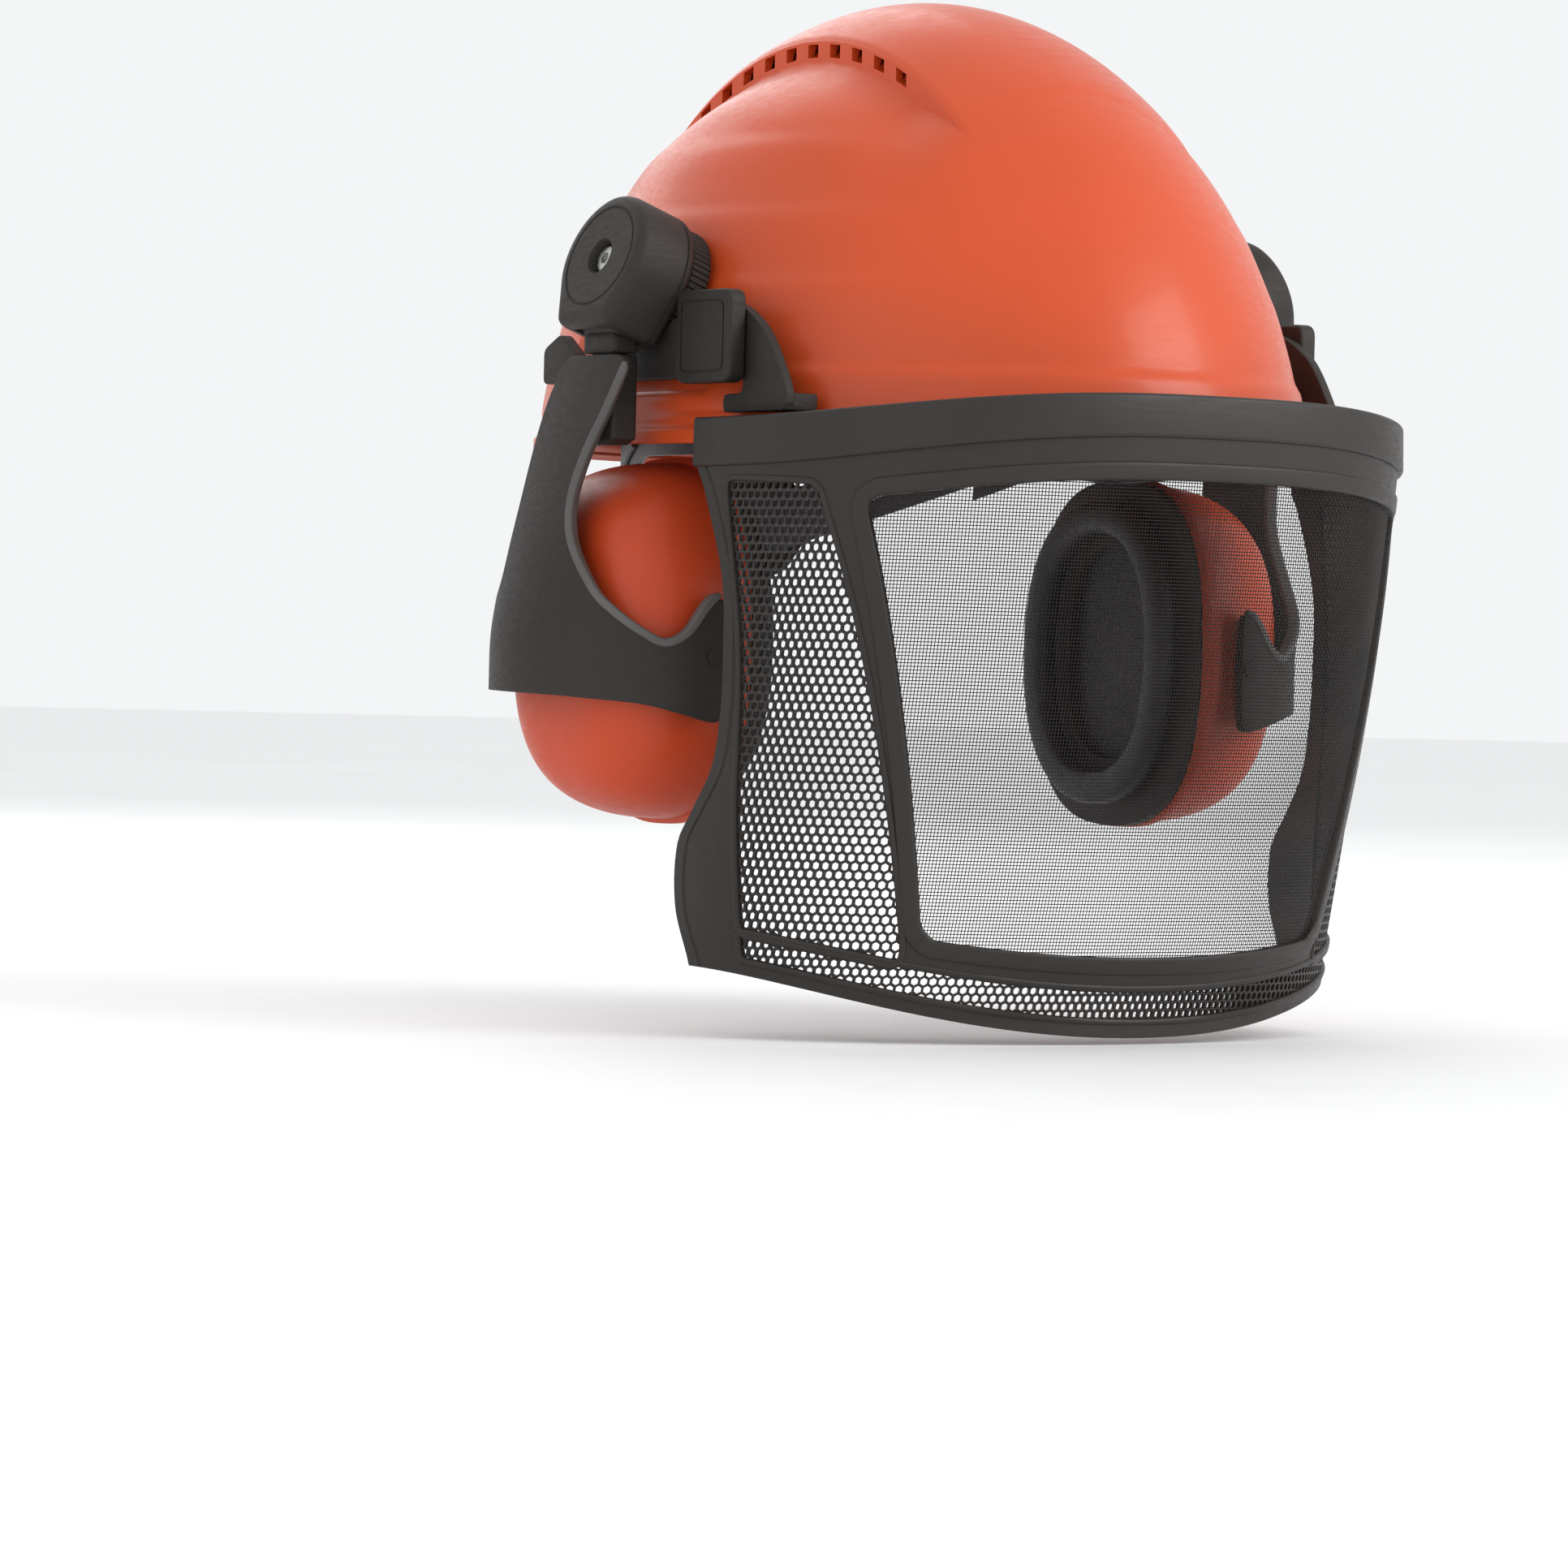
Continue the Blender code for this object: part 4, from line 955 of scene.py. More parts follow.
def make_mesh():
    """The window's woven wire: each wire goes over and under the ones it crosses."""
    z_low, z_high = -155.5, -11.5
    rows = int((z_high - z_low) / WIRE_PITCH)
    heights = [z_low + WIRE_PITCH * j for j in range(rows + 1)]
    reach = {z: 0.5 * (pillar_inner_arc(z) + pillar_outer_arc(z)) for z in heights}
    half = int(max(reach.values()) / WIRE_PITCH)
    places = {}
    for j, z in enumerate(heights):
        for i in range(-half, half + 1):
            u = i * WIRE_PITCH
            if abs(u) <= reach[z] and between_lines(WINDOW_BOTTOM, WINDOW_TOP, u, z, 3.5):
                spot = on_visor(u, z, MESH_DEPTH)
                outward = (on_visor(u, z, MESH_DEPTH - 1.0) - spot).normalized()
                places[i, j] = (spot, outward)

    def run(keys, sign):
        path = []
        for i, j in keys:
            if (i, j) in places:
                spot, outward = places[i, j]
                lift = WEAVE if (i + j) % 2 == 0 else -WEAVE
                path.append((spot + outward * lift * sign, outward))
        return path

    upright = [run([(i, j) for j in range(rows + 1)], 1) for i in range(-half, half + 1)]
    level = [run([(i, j) for i in range(-half, half + 1)], -1) for j in range(rows + 1)]
    first = wires("mesh_upright_wires", [p for p in upright if len(p) > 2])
    show(first, "visor", "mesh", "mesh_screen")
    show(wires("mesh_level_wires", [p for p in level if len(p) > 2]), "visor", "mesh")


def brim_profile(angle):
    """The brim's section at one angle, with rounded edges."""
    top, low = line_height(BRIM_TOP, angle), line_height(BRIM_LOW, angle)
    outer = visor_point(angle, 0.0, -BRIM_PROUD)
    inner = visor_point(angle, 0.0, BRIM_WALL - BRIM_PROUD)
    clear, length = SHELL_HALF_WIDTH + BRIM_CLEARANCE, SHELL_HALF_LENGTH + BRIM_CLEARANCE
    heading = math.atan2(inner.x / clear, -inner.y / length)
    lip = Vector((clear * math.sin(heading), -length * math.cos(heading), 0))
    wide = max(BRIM_WALL + 0.2, (outer - lip).length)
    under = top - BRIM_FLANGE
    flat = rounded([(0, low), (0.25, top), (wide, top), (wide, under), (BRIM_WALL, under),
                    (BRIM_WALL, low)], 1.3, 4)
    section = []
    for along, z in flat:
        goal, reach = (lip, wide) if along > BRIM_WALL else (inner, BRIM_WALL)
        spot = outer.lerp(goal, along / reach)
        section.append((spot.x, spot.y, z))
    return section


def make_brim():
    steps = 150
    sections = [brim_profile(math.radians(BRIM_END * (2 * i / steps - 1))) for i in range(steps + 1)]
    show(loft("brim_band", sections, degrees=40.0), "visor", "frame_plastic", "visor_brim")


def prism(name, outline, ends, width=0.0, segments=3):
    """A flat outline of (y, z) points pushed through between two distances out."""
    made = loft(name, [[(out, p[0], p[1]) for p in outline] for out in ends])
    if width > 0:
        settle(bevel(made, width, segments))
    return made


def axis_bore(side, ends, radius):
    """A bar on the visor's axis between two distances out."""
    return cylinder("bore", *[(side * out, VISOR_AXIS_Y, VISOR_AXIS_Z) for out in ends], radius)


def make_visor_arm(label, side):
    outline = [(-46, 2.6), (-46, 8), (-56, 8), (-55.7, 14), (-50, 15.5), (-44, 15.5), (-38, 18.0),
               (-35, 24.5), (-38, 31), (-44, 34.5), (-50, 34.8), (-56, 33), (-62, 29.5),
               (-66.5, 26), (-70.5, 21), (-73.4, 16.5), (-76.2, 12), (-78, 8), (-78, 2.6)]
    arm = prism("arm_plate", rounded(outline, 3.0, 4), (side * 99.3, side * 102.5), 0.5)
    foot = loft("foot", [[(side * out, y, z) for out, z in ((inner, 2.7), (102.4, 2.7),
                                                            (102.4, 7.8), (inner, 7.8))]
                         for y, inner in ((-46.2, 98.9), (-62.0, 95.5), (-77.7, 91.0))])
    combine(arm, settle(bevel(foot, 0.6)), "UNION")
    combine(arm, axis_bore(side, (90.0, 110.0), 3.0))
    arm.name = "curved_arm_" + label
    show(arm, "visor", "black_plastic", "visor_arm_" + label)


# ---------------------------------------------------------------- hub, block and bracket

class HubFrame:
    """The tilted hub: depth runs out along its axis, v runs up its face."""

    def __init__(self, side):
        self.base = Vector((side * shell_out(HUB_Y, HUB_Z), HUB_Y, HUB_Z))
        self.axis = Vector((side * math.cos(HUB_TILT), 0, math.sin(HUB_TILT)))
        self.up = Vector((-side * math.sin(HUB_TILT), 0, math.cos(HUB_TILT)))

    def at(self, depth, forward=0.0, v=0.0):
        return self.base + self.axis * depth + self.up * v + Vector((0, -forward, 0))

    def ring(self, depth, radius, segments=64):
        return [self.at(depth, radius * math.cos(a), radius * math.sin(a))
                for a in ring_angles(segments)]


def hub_loop(hub, depth, inset):
    """The D-shaped outline of the hub, with its lower corners rounded."""
    steps = 56
    radius = HUB_RADIUS
    points = []
    for i in range(steps + 1):
        angle = math.radians(-22.0 + 224.0 * i / steps)
        points.append(Vector((radius * math.cos(angle), radius * math.sin(angle))))
    flank = points[-1]
    foot = rounded([(flank.x, flank.y), (-13.0, -21.0), (13.0, -21.0), (-flank.x, flank.y)], 2.0, 4)
    points += foot[5:-5]
    scale = (radius - inset) / radius
    return [hub.at(depth, p.x * scale, p.y * scale) for p in points]


def cross_bar(name, hub, half, radius):
    """A bar on the fold pin's line."""
    return cylinder(name, hub.at(FOLD_DEPTH, -half, -FOLD_DROP), hub.at(FOLD_DEPTH, half, -FOLD_DROP),
                    radius)


# How deep each section of the hub lies, and how far it is drawn in
HUB_LEVELS = [(8.4, 1.2), (8.8, 0.5), (9.6, 0.1), (10.8, 0.0), (11.0, 0.5), (11.6, 0.5), (11.8, 0.0),
              (24.6, 0.0), (26.2, 0.25), (27.3, 0.8), (28.0, 1.7), (28.4, 3.2)]


def make_hub(label, hub):
    body = loft("round_hub_" + label, [hub_loop(hub, *level) for level in HUB_LEVELS], degrees=40.0)
    corners = ((-9.3, -11), (9.3, -11), (9.3, -30), (-9.3, -30))
    combine(body, loft("slot", [[hub.at(depth, *p) for p in corners] for depth in (12.0, 23.4)]))
    combine(body, cylinder("bore", hub.at(0), hub.at(40), 2.8))
    combine(body, loft("recess", [hub.ring(21.9, 4.9), hub.ring(27.4, 4.9), hub.ring(29.4, 6.2)]))
    groove = [hub.ring(28.4 + 0.42 * math.sin(b), 15.4 + 0.42 * math.cos(b), 72)
              for b in ring_angles(8)]
    combine(body, loft("ring_groove", groove, closed=True))
    smooth_mesh(body.data, 40.0)
    show(body, "hub_" + label, "black_plastic", "hub_housing_" + label)


def make_knuckle(label, hub):
    pin = hub.at(FOLD_DEPTH, 0, -FOLD_DROP)
    knuckle = post("knuckle_" + label, pin, (4.2, 8.4), 1.4,
                   ((19.8, 0.94), (20.3, 1.0), (24.4, 1.0), (26.6, 0.8), (27.6, 0.55)))
    combine(knuckle, cross_bar("barrel", hub, 8.8, 4.5), "UNION")
    combine(knuckle, cube("tongue", (4.0, 13.0, 30.0), (pin.x, HUB_Y, pin.z - 16.0)), "UNION")
    combine(knuckle, cross_bar("bore", hub, 30.0, 1.8))
    show(knuckle, "knuckle_" + label, "black_plastic", "fold_knuckle_" + label)


def make_screw(label, hub):
    rings = [hub.ring(*level) for level in ((23.6, 4.2), (25.6, 4.3), (26.3, 3.8), (26.5, 3.0))]
    screw = loft("hub_bolt_" + label, rings, degrees=40.0)
    combine(screw, loft("hex_socket", [hub.ring(24.8, 1.9, 6), hub.ring(28.0, 1.9, 6)]))
    show(screw, "root", "steel", "hub_screw_" + label)


def make_boss(label, hub):
    """The round boss behind the hub, with a ring of small teeth."""
    serrations = 60
    sections = []
    for depth, grow in ((1.0, -0.6), (1.6, 0.0), (7.4, 0.0), (8.0, -0.6)):
        section = []
        for i in range(serrations * 4):
            a = 2 * math.pi * i / (serrations * 4)
            tooth = 0.35 if i % 4 in (1, 2) else -0.2
            radius = 18.1 + grow + tooth
            section.append(hub.at(depth, radius * math.cos(a), radius * math.sin(a)))
        sections.append(section)
    show(loft("serrated_boss_" + label, sections, degrees=25.0), "root", "black_plastic")


def make_bracket(label, side):
    outline = [(42, 12.5), (42, 23), (33, 27.5), (22, 19.5), (8, 19.5), (2, 27), (-19, 27),
               (-29.6, 31), (-29.6, 12.5)]
    bar = prism("slot_bracket_" + label, rounded(outline, 2.0, 4), (side * 103.6, side * 107.6), 0.6)
    show(bar, "root", "black_plastic", "side_bracket_" + label)


def make_visor_block(label, side):
    """The block the visor turns on, with a fine square line sunk into its face."""
    plate = [(-30.2, 11.0), (-30.2, 38.0), (-58.0, 38.0), (-58.0, 11.0)]
    block = prism("pivot_block_" + label, rounded(plate, 4.0, 6), (side * 102.8, side * 108.8),
                  1.1, 4)
    frame_line = prism("line", rounded([(-33, 14), (-33, 35), (-55, 35), (-55, 14)], 3.0, 5),
                       (side * 108.5, side * 112.0))
    lowered = prism("lowered", rounded([(-33.6, 14.6), (-33.6, 34.4), (-54.4, 34.4), (-54.4, 14.6)],
                                       2.6, 5), (side * 106.0, side * 113.0))
    combine(frame_line, lowered)
    combine(block, frame_line)
    combine(block, axis_bore(side, (99.8, 106.1), 2.9))
    show(block, "root", "black_plastic", "visor_block_" + label)


# ---------------------------------------------------------------- ear muff

def arm_surface(side, y, z):
    """A point on the arm's outer face, which leans in and forward as it rises."""
    lean = min(1.0, max(0.0, (z - LIMB_FOOT_Z) / LIMB_HEIGHT))
    reach = WRAP_OUT - 15.0 * lean
    half = WRAP_HALF_LENGTH + 15.0 * lean
    middle = CUP_Y - 15.6 * lean
    share = min(1.0, abs(y - middle) / half)
    return Vector((side * (BAND_CENTRE_OUT + reach * math.sqrt(1.0 - share * share)), y, z))


def wrap_point(side, degrees, z):
    """A point of the band round the cup, which runs into the limb above it."""
    angle = math.radians(degrees)
    y = CUP_Y - WRAP_HALF_LENGTH * math.sin(angle)
    if z > LIMB_FOOT_Z and abs(degrees) < 80:
        return arm_surface(side, y, z)
    return Vector((side * (BAND_CENTRE_OUT + WRAP_OUT * math.cos(angle)), y, z))


def smooth_path(points, steps):
    """A smooth run of points through the given ones."""
    made = []
    for k in range(len(points) - 1):
        p0, p1, p2, p3 = (points[min(max(k + d, 0), len(points) - 1)] for d in (-1, 0, 1, 2))
        for i in range(steps):
            t = i / steps
            made.append(0.5 * ((2 * p1) + (p2 - p0) * t + (2 * p0 - 5 * p1 + 4 * p2 - p3) * t ** 2
                               + (3 * p1 - p0 - 3 * p2 + p3) * t ** 3))
    return made + [points[-1]]


def edge_lip(name, side, path):
    """A rolled lip along the muff arm's edge, set on the arm's wall."""
    profile = rounded_box((-2.1, 0.35), (0.5, -3.5), 0.9, 4)
    sections = []
    for k, here in enumerate(path):
        along = (path[min(k + 1, len(path) - 1)] - path[max(k - 1, 0)]).normalized()
        middle = Vector((side * BAND_CENTRE_OUT, CUP_Y, here.z))
        outward = (here - middle).normalized()
        outward = (outward - along * outward.dot(along)).normalized()
        beside = along.cross(outward) * side
        size = min(1.0, 0.5 + 0.5 * min(k, len(path) - 1 - k) / 4)
        sections.append([here - beside * p.x * size + outward * (p.y * size) for p in profile])
    return loft(name, sections, degrees=50.0)


# The band's edges by degrees round the cup, then the limb's edges by height
BAND_REAR = [-95, -80, -65, -50, -37]
BAND_MIDDLE = [-25, -13, -1, 11, 23, 35]
BAND_FRONT = [47, 58, 68, 78, 87, 95]
BAND_TOP = [(-95, -57), (-50, -55), (-37, -52), (-25, -48), (35, -48), (47, -56), (58, -62),
            (68, -65), (78, -62), (87, -54), (95, -49)]
BAND_LOW = [(-95, -80), (-30, -79), (20, -80), (60, -82), (95, -88)]
LIMB_REAR = [(-36, 21.5), (-23.5, 18.6), (-10, 16.5), (3, 13.2), (12, 8.5), (19, 3.0)]
LIMB_FRONT = [(-36, -14.5), (-23.5, -11.3), (-10, -14.5), (3, -21.0), (12, -25.0), (19, -28.0)]


def make_muff_arm(label, side, hub):
    """The arm: a band round the cup and a limb up to the hub, with a pocket for the knuckle."""
    angles = BAND_REAR + BAND_MIDDLE + BAND_FRONT
    band_rows = 4

    def point(i, j):
        degrees = angles[i]
        if j <= band_rows:
            low = between(BAND_LOW, degrees)
            z = low + (between(BAND_TOP, degrees) - low) * j / band_rows
            return wrap_point(side, degrees, z)
        (z, rear), (_, front) = LIMB_REAR[j - band_rows - 1], LIMB_FRONT[j - band_rows - 1]
        share = (i - len(BAND_REAR)) / (len(BAND_MIDDLE) - 1)
        return arm_surface(side, rear * (1 - share) + front * share, z)

    bm = bmesh.new()
    grid = {}
    rows = band_rows + 1 + len(LIMB_REAR)
    for i in range(len(angles) - 1):
        for j in range(rows - 1):
            in_limb = len(BAND_REAR) <= i < len(BAND_REAR) + len(BAND_MIDDLE) - 1
            if not (j < band_rows or in_limb):
                continue
            corners = [(i, j), (i + 1, j), (i + 1, j + 1), (i, j + 1)]
            for corner in corners:
                if corner not in grid:
                    grid[corner] = bm.verts.new(point(*corner))
            loop = [grid[corner] for corner in corners]
            bm.faces.new(loop[::-1] if side > 0 else loop)
    arm = new_object("wrap_arm_" + label, bm, 60.0)
    subdivide(arm, 3)
    settle(solidify(arm, ARM_WALL), 60.0)
    settle(bevel(arm, 0.9, 3, 60.0), 50.0)
    pin = hub.at(FOLD_DEPTH, 0, -FOLD_DROP)
    neck = post("neck", pin, (4.4, 8.6), 1.6, ((-6.8, 0.7), (-5.0, 1.0), (18.6, 1.0), (19.4, 0.92)))
    combine(arm, neck, "UNION")
    combine(arm, cube("pocket", (4.7, 13.7, 34.0), (pin.x, HUB_Y, 12.5)))
    smooth_mesh(arm.data, 50.0)
    show(arm, "arm_" + label, "black_plastic", "muff_arm_" + label)


def make_arm_lip(label, side):
    """The rolled lip down the limb's front edge and along the band's top edge, painted paler as a
    highlight.
    """
    path = [arm_surface(side, between(LIMB_FRONT, z), z)
            for z in (17.0, 12.0, 3.0, -10.0, -23.5, -36.0)]
    path += [wrap_point(side, d, between(BAND_TOP, d)) for d in (37, 47, 58, 68, 78, 87, 93)]
    lip = edge_lip("arm_lip_" + label, side, smooth_path(path, 8))
    show(lip, "arm_" + label, "black_plastic")
    # The lip takes the paler grey-black: a painted highlight along the rolled edge.
    lip.data.materials[0] = painted_lip_highlight


def oval_point(side, out, a, half_width, half_height, power=CUP_POWER):
    y, z = superellipse(a, half_width, half_height, power)
    return Vector((side * out, CUP_Y + y, CUP_Z + z))


def ring_angles(count):
    return [2 * math.pi * i / count for i in range(count)]


def oval_ring(side, out, half_width, half_height, count=128):
    return [oval_point(side, out, a, half_width, half_height) for a in ring_angles(count)]


def make_cup(label, side):
    """The cup: an oval bowl with a rolled rim and a softly domed face."""
    steps = 30
    depth = CUP_OUT[1] - CUP_OUT[0]
    profile = [(0.0, 1.0), (0.02, 1.012), (0.075, 1.012), (0.09, 0.985)]
    for k in range(1, steps + 1):
        a = math.radians(90.0) * k / steps
        share = 0.09 + 0.91 * math.sin(a) ** 0.92
        profile.append((share, 0.985 * max(0.02, math.cos(a)) ** 0.42))
    sections = [oval_ring(side, CUP_OUT[0] + depth * share, CUP_HALF_WIDTH * scale,
                          CUP_HALF_HEIGHT * scale) for share, scale in profile]
    bm = bmesh.new()
    last = join_rings(bm, [ring[::side] for ring in sections], capped=False)[-1]
    tip = bm.verts.new((side * CUP_OUT[1], CUP_Y, CUP_Z))
    for first, second in zip(last, last[1:] + last[:1]):
        bm.faces.new((first, second, tip))
    cup = settle(solidify(new_object("cup_bowl_" + label, bm, 60.0), CUP_WALL), 60.0)
    show(cup, "cup_" + label, "cup", "ear_cup_" + label)


def make_cup_plate(label, side):
    plate = loft("cup_plate_" + label,
                 [oval_ring(side, out, CUP_HALF_WIDTH + grow, CUP_HALF_HEIGHT + grow)
                  for out, grow in ((80.6, -1.0), (80.9, 0.0), (83.2, 0.4), (83.6, 0.0))])
    hole = [oval_ring(side, out, 22.0, 33.0, 96) for out in (70.0, 90.0)]
    combine(plate, loft("plate_hole", hole))
    show(plate, "cup_" + label, "black_plastic", "cup_backplate_" + label)


def soften(made, voxel, cap, pressure=4.0):
    """Blow a soft piece up a little with Cloth, and keep each point near its start."""
    mesh = made.modifiers.new("cells", "REMESH")
    mesh.mode = "VOXEL"
    mesh.voxel_size = voxel * MM
    settle(made, 80.0)
    start = [v.co.copy() for v in made.data.vertices]
    cloth = made.modifiers.new("cloth", "CLOTH")
    cloth.settings.use_pressure = True
    cloth.settings.uniform_pressure_force = pressure
    cloth.settings.effector_weights.gravity = 0.0
    for number in range(1, 21):
        bpy.context.scene.frame_set(number)
    settle(made, 80.0)
    bpy.context.scene.frame_set(1)
    for vertex, home in zip(made.data.vertices, start):
        move = vertex.co - home
        if move.length > cap * MM:
            vertex.co = home + move.normalized() * cap * MM
    subdivide(made, 1)
    return settle(made, 80.0)


def make_cushion(side):
    """The sealing ring: a swollen tube with a welded seam round its inner and outer edge."""
    sections = []
    for a in ring_angles(96):
        section = []
        for k in range(16):
            b = 2 * math.pi * k / 16
            across, deep = superellipse(b, 5.4, 4.2, 2.8)
            half_width, half_height = (half + across for half in CUSHION_HALF)
            section.append(oval_point(side, CUSHION_OUT + deep, a, half_width, half_height, 2.3))
        sections.append(section)
    cushion = soften(loft("cushion_ring", sections, closed=True), 1.8, 1.2)
    for vertex in cushion.data.vertices:
        spot = vertex.co / MM
        out = abs(spot.x)
        ripple = math.sin(math.atan2(spot.z - CUP_Z, (spot.y - CUP_Y) * 1.3) * 34.0)
        seam = hill(78.2, 0.9, out)
        inward = Vector((0, spot.y - CUP_Y, spot.z - CUP_Z)).normalized()
        vertex.co -= inward * (seam * 0.5 + 0.12 * ripple * hill(77.6, 2.4, out)) * MM
        vertex.co.x = side * min(max(out, CUSHION_LIMITS[0]), CUSHION_LIMITS[1]) * MM
    return cushion


def make_cushions():
    right = make_cushion(-1)
    left_mesh = right.data.copy()
    left_mesh.transform(Matrix.Scale(-1.0, 4, (1, 0, 0)))
    left_mesh.flip_normals()
    left = link_object("cushion_ring_left", left_mesh)
    right.name = "cushion_ring_right"
    for label, cushion in (("right", right), ("left", left)):
        show(cushion, "cup_" + label, "cushion", "ear_cushion_" + label)


def make_liners():
    """The foam in each cup, with an uneven edge."""
    for label, side in SIDES:
        sections = []
        for out, grow in ((86.2, -2.0), (87.0, -0.6), (89.0, 0.0), (98.0, -1.0), (103.5, -3.0),
                          (105.5, -6.0)):
            section = []
            for a in ring_angles(72):
                dent = 0.5 * math.sin(5 * a) + 0.35 * math.sin(11 * a + out)
                half_width, half_height = (half + grow + dent for half in FOAM_HALF)
                section.append(oval_point(side, out, a, half_width, half_height))
            sections.append(section)
        foam = loft("cup_liner_" + label, sections, degrees=70.0)
        show(foam, "cup_" + label, "foam", "cup_foam_" + label)


# ---------------------------------------------------------------- harness

def band_low(degrees):
    return between([(0, -14), (60, -8), (110, -8), (165, -38), (195, -38)], abs(degrees))


def band_high(degrees):
    return between([(0, 16), (60, 12), (110, 12), (165, -10), (195, -10)], abs(degrees))


def ring_point(degrees, offset, z):
    angle = math.radians(degrees)
    return Vector(((BAND_HALF_WIDTH + offset) * math.sin(angle),
                   -(BAND_HALF_LENGTH + offset) * math.cos(angle), z))


def band(name, start, end, steps, offset, thickness, low, high):
    sections = []
    for i in range(steps + 1):
        d = start + (end - start) * i / steps
        tall = high(d) - low(d)
        flat = rounded_box((0, 0), (thickness, tall), 0.6, 2)
        sections.append([ring_point(d, offset + p.x, low(d) + p.y) for p in flat])
    return loft(name, sections, degrees=40.0)


def cut_slots(made, places, length, height, offset):
    """Cut upright rounded slots through a band, each place a (degrees, z) pair."""
    for degrees, z in places:
        flat = rounded_box((-length / 2, -height / 2), (length / 2, height / 2), 1.2, 3)
        scale = math.degrees(1.0) / 90.0
        sections = [[ring_point(degrees + p.x * scale, offset + depth, z + p.y) for p in flat]
                    for depth in (-8.0, 8.0)]
        combine(made, loft("slot", sections))


def strap_height(reach, top):
    share = min(1.0, abs(reach) / STRAP_REACH)
    return STRAP_FOOT_Z + (top - STRAP_FOOT_Z) * math.sqrt(1.0 - share ** 2.4)


def make_crown_strap(name, node, degrees, top):
    heading = Vector((math.sin(math.radians(degrees)), -math.cos(math.radians(degrees)), 0))
    across = Vector((-heading.y, heading.x, 0))
    steps = 90
    path = []
    for i in range(steps + 1):
        reach = STRAP_REACH * math.cos(math.pi * i / steps)
        path.append(heading * reach + Vector((0, 0, strap_height(reach, top))))
    sections = []
    for i, here in enumerate(path):
        along = (path[min(i + 1, steps)] - path[max(i - 1, 0)]).normalized()
        lift = across.cross(along)
        lift = lift if lift.z > 0 else -lift
        section = []
        for w, h in ((-11, 0), (-10.7, -0.35), (-9.2, -0.55), (9.2, -0.55), (10.7, -0.35), (11, 0),
                     (10.7, 0.35), (9.2, 0.55), (-9.2, 0.55), (-10.7, 0.35)):
            section.append(here + across * w + lift * h)
        sections.append(section)
    strap = loft(name, sections, degrees=50.0)
    show(strap, "root", "webbing", node)


def make_crown_pad():
    rings, segments = 22, 96
    radius = 42.0

    def point(i, j, under):
        r = radius * (i + 0.6) / rings
        a = 2 * math.pi * j / segments
        rim = smoothstep(0.80, 1.0, r / radius)
        seam = hill(34.0, 1.6, r) * 0.9 + hill(15.0, 1.6, r) * 0.7
        thick = 2.2 * (1 - rim * 0.75) - seam
        z = strap_height(r, STRAP_TOP_Z) - 3.7 + (-thick if under else thick * 0.8)
        return (r * math.cos(a), r * math.sin(a), z)

    layers = [(i, False) for i in range(rings)] + [(i, True) for i in range(rings)][::-1]
    sections = [[point(i, j, under) for j in range(segments)] for i, under in layers]
    pad = loft("crown_cushion", sections, degrees=60.0)
    show(pad, "root", "foam", "crown_pad")


def make_sweatband():
    """The brow pad: a soft roll with sewn upright channels, thinned at its two ends."""
    sections = []
    steps = 250
    for i in range(steps + 1):
        d = -62 + 124 * i / steps
        channel = 0.8 * hill(0.0, 1.1, (d + 62.0) % 8.27 - 4.1)
        end = 1.0 - 0.75 * smoothstep(59.0, 62.0, abs(d))
        low, high = band_low(d) - 1.0, band_high(d) + 1.0
        section = []
        for k in range(24):
            deep, up = superellipse(2 * math.pi * k / 24, 1.75, 0.5 * (high - low), 3.0)
            if deep < 0:
                deep *= (1.0 - channel / 1.75)
            z = 0.5 * (low + high) + up * (0.9 + 0.1 * end)
            section.append(ring_point(d, -2.05 + deep * end, z))
        sections.append(section)
    pad = loft("brow_pad", sections, degrees=70.0)
    show(pad, "root", "sweatband", "sweatband")


def make_bands():
    head = band("head_strap", -125, 125, 120, 0.0, BAND_THICKNESS, band_low, band_high)
    cut_slots(head, [(side * d, 1.5) for side in (-1, 1) for d in (72, 82, 92, 102)], 9.0, 4.0, 0.8)
    show(head, "root", "harness_plastic", "headband")
    nape = band("nape_band", 114, 246, 90, BAND_THICKNESS + 0.3, BAND_THICKNESS,
                lambda a: band_low(180 - abs(180 - a)) + 5.0,
                lambda a: band_high(180 - abs(180 - a)) - 4.0)
    holes = [(180 + side * d, -1.2 - 0.50 * (55 - d)) for side in (-1, 1) for d in (42, 47, 52)]
    cut_slots(nape, holes, 3.4, 3.4, 2.7)
    show(nape, "root", "harness_plastic", "nape_strap")


HOUSING_OFFSET = 2 * BAND_THICKNESS + 0.6
HOUSING_Y = BAND_HALF_LENGTH + HOUSING_OFFSET


def make_ratchet_housing():
    sections = []
    for i in range(41):
        d = 160 + i
        inside = min(1.0, (20 - abs(d - 180)) / 6)
        ease = min(1.0, 0.35 + 0.65 * math.sin(math.radians(90.0) * inside))
        flat = rounded_box((0, -17 * ease), (10.5 * ease, 17 * ease), 3.2, 5)
        sections.append([ring_point(d, HOUSING_OFFSET + p.x, NAPE_Z + p.y) for p in flat])
    housing = loft("ratchet_case", sections, degrees=40.0)
    combine(housing, cylinder("bore", knob_point(-5.0), knob_point(20.0), 5.3))
    show(housing, "root", "black_plastic", "ratchet_housing")


def knob_point(depth, radius=0.0, angle=0.0):
    """A point round the knob's axis, at a depth behind the ratchet housing's front."""
    return (radius * math.cos(angle), HOUSING_Y + depth, NAPE_Z + radius * math.sin(angle))


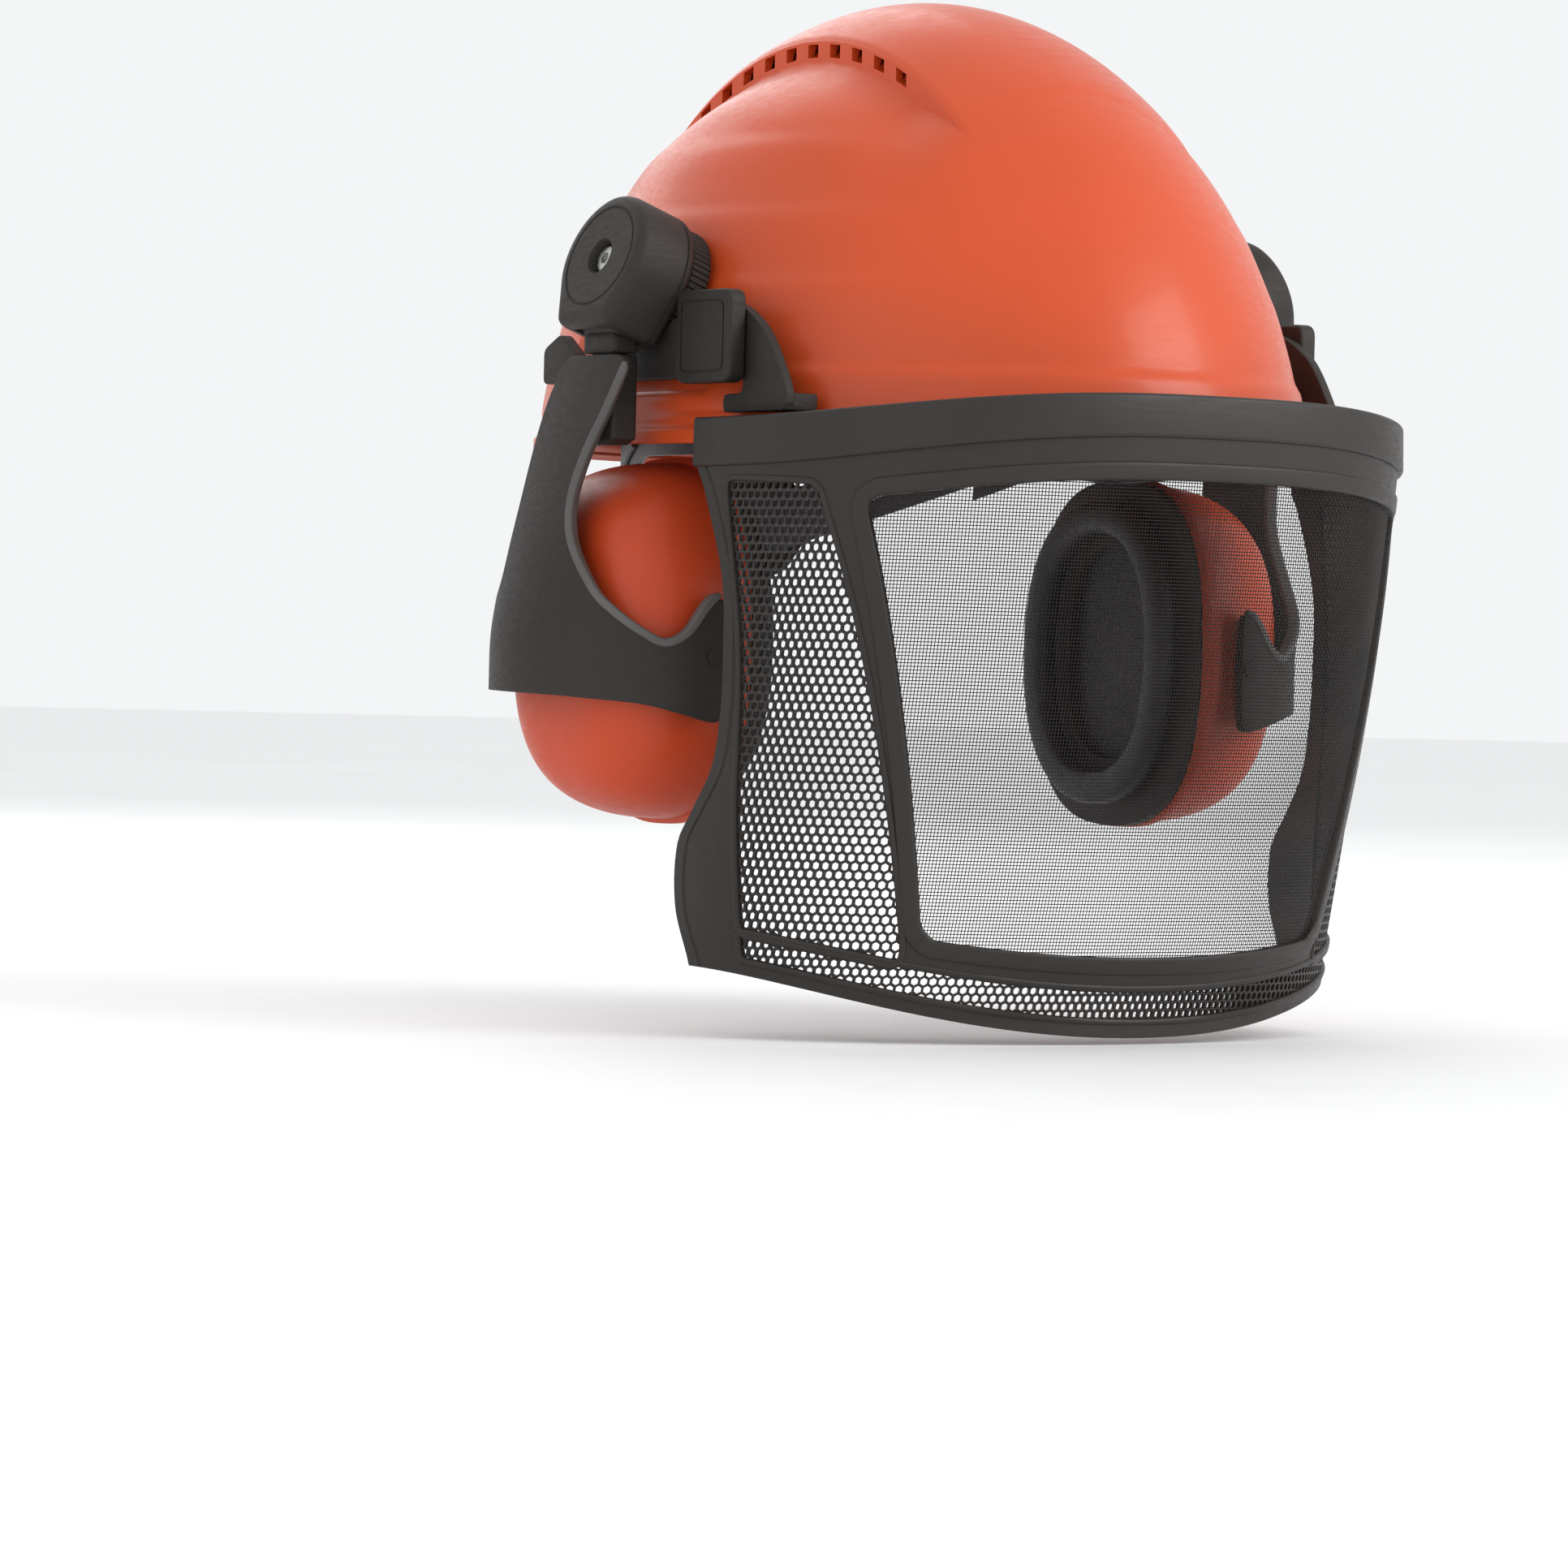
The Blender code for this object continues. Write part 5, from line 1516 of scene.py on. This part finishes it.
def make_knob():
    flutes = 20
    sections = []
    for depth, grow in ((10.9, -1.0), (11.6, 0.0), (20.0, 0.0), (21.4, -0.7), (22.0, -2.2)):
        sections.append([knob_point(depth, 14.4 + grow + 0.6 * math.cos(flutes * a), a)
                         for a in ring_angles(flutes * 8)])
    knob = loft("fluted_knob", sections, degrees=50.0)
    combine(knob, loft("dish", [[knob_point(d, r, a) for a in ring_angles(64)]
                                for d, r in ((20.8, 9.4), (24.0, 10.6))]))
    combine(knob, cylinder("shaft", knob_point(0.6), knob_point(14.0), 5.0), "UNION")
    show(knob, "knob", "black_plastic", "ratchet_knob")


def make_clips():
    """The four plugs that hang the harness in the shell."""
    corners = {"front_right": -45, "front_left": 45, "rear_left": 135, "rear_right": 225}
    for corner, degrees in corners.items():
        outline = rounded_box((-9, -4), (9, 14), 3.0, 5)
        clip = loft("hook_" + corner, [[(p.x, y, p.y) for p in outline] for y in (-106.6, -98.6)])
        settle(bevel(clip, 0.7))
        rib = loft("rib", [[(x, y, z) for x, z in ((-3, 8), (3, 8), (3, 11), (-3, 11))]
                           for y in (-108.5, -105.2)])
        combine(clip, rib)
        clip.data.transform(Matrix.Rotation(math.radians(degrees), 4, "Z"))
        show(clip, "root", "harness_plastic", "harness_clip_" + corner)


def finish_carried_nodes():
    """Materials for the small CAD nodes that stay as they are."""
    for record in frame["record"]["subparts"]:
        node = frame["nodes"][record["node"]]
        if node.hide_render:
            continue
        node.data.materials.clear()
        node.data.materials.append(looks[record["material_slot"]])


# ---------------------------------------------------------------- floor, light and camera

def make_studio():
    bm = bmesh.new()
    bmesh.ops.create_circle(bm, cap_ends=True, segments=96, radius=12.0)
    mesh = bpy.data.meshes.new("floor")
    bm.to_mesh(mesh)
    bm.free()
    floor = link_object("floor", mesh)
    floor.location.z = cad_box[0][2] - 2.0 * MM
    n = Nodes("pale_floor")
    tone = n.blend(n.stretch(n.noise(3.0), 0.0, 1.0), (0.88, 0.88, 0.88, 1), (0.91, 0.91, 0.91, 1))
    floor.data.materials.append(n.finish(tone, n.stretch(n.noise(40.0), 0.6, 0.7)))

    world = bpy.data.worlds.new("studio")
    bpy.context.scene.world = world
    world.use_nodes = True
    background = world.node_tree.nodes["Background"]
    background.inputs["Color"].default_value = SKY
    background.inputs["Strength"].default_value = SKY_STRENGTH

    bpy.context.scene.view_settings.view_transform = "Standard"

    for name, place, size, power in LAMPS:
        data = bpy.data.lights.new(name, "AREA")
        data.size = size
        data.energy = power
        lamp = link_object(name, data)
        lamp.location = place
        lamp.rotation_euler = (LAMP_TARGET - Vector(place)).to_track_quat("-Z", "Y").to_euler()


def make_camera():
    yaw, pitch, roll = (math.radians(turn) for turn in CAMERA_TURN)
    level = math.cos(pitch)
    back = Vector((-math.sin(yaw) * level, -math.cos(yaw) * level, math.sin(pitch)))
    right = (-back).cross(Vector((0, 0, 1))).normalized()
    up = right.cross(-back)
    tilted_right = right * math.cos(roll) + up * math.sin(roll)
    tilted_up = up * math.cos(roll) - right * math.sin(roll)
    data = bpy.data.cameras.new("camera")
    data.lens = CAMERA_LENS
    data.sensor_width = 36.0
    camera = link_object("camera", data)
    turn = Matrix((tilted_right, tilted_up, back)).transposed().to_4x4()
    camera.matrix_world = Matrix.Translation(CAMERA_PLACE) @ turn
    bpy.context.scene.camera = camera


make_camera()
make_studio()
make_shell()
make_frame()
make_rims()
make_grilles()
make_mesh()
make_brim()
for label, side in SIDES:
    hub = HubFrame(side)
    make_visor_arm(label, side)
    make_hub(label, hub)
    make_knuckle(label, hub)
    make_screw(label, hub)
    make_boss(label, hub)
    make_bracket(label, side)
    make_visor_block(label, side)
    make_muff_arm(label, side, hub)
    make_arm_lip(label, side)
    make_cup(label, side)
    make_cup_plate(label, side)
make_cushions()
make_liners()
make_bands()
make_ratchet_housing()
make_knob()
make_crown_pad()
make_crown_strap("crown_web_right", "crown_strap_front_right", -45, STRAP_TOP_Z)
make_crown_strap("crown_web_left", "crown_strap_front_left", 45, STRAP_TOP_Z + 2.8)
make_sweatband()
make_clips()
finish_carried_nodes()
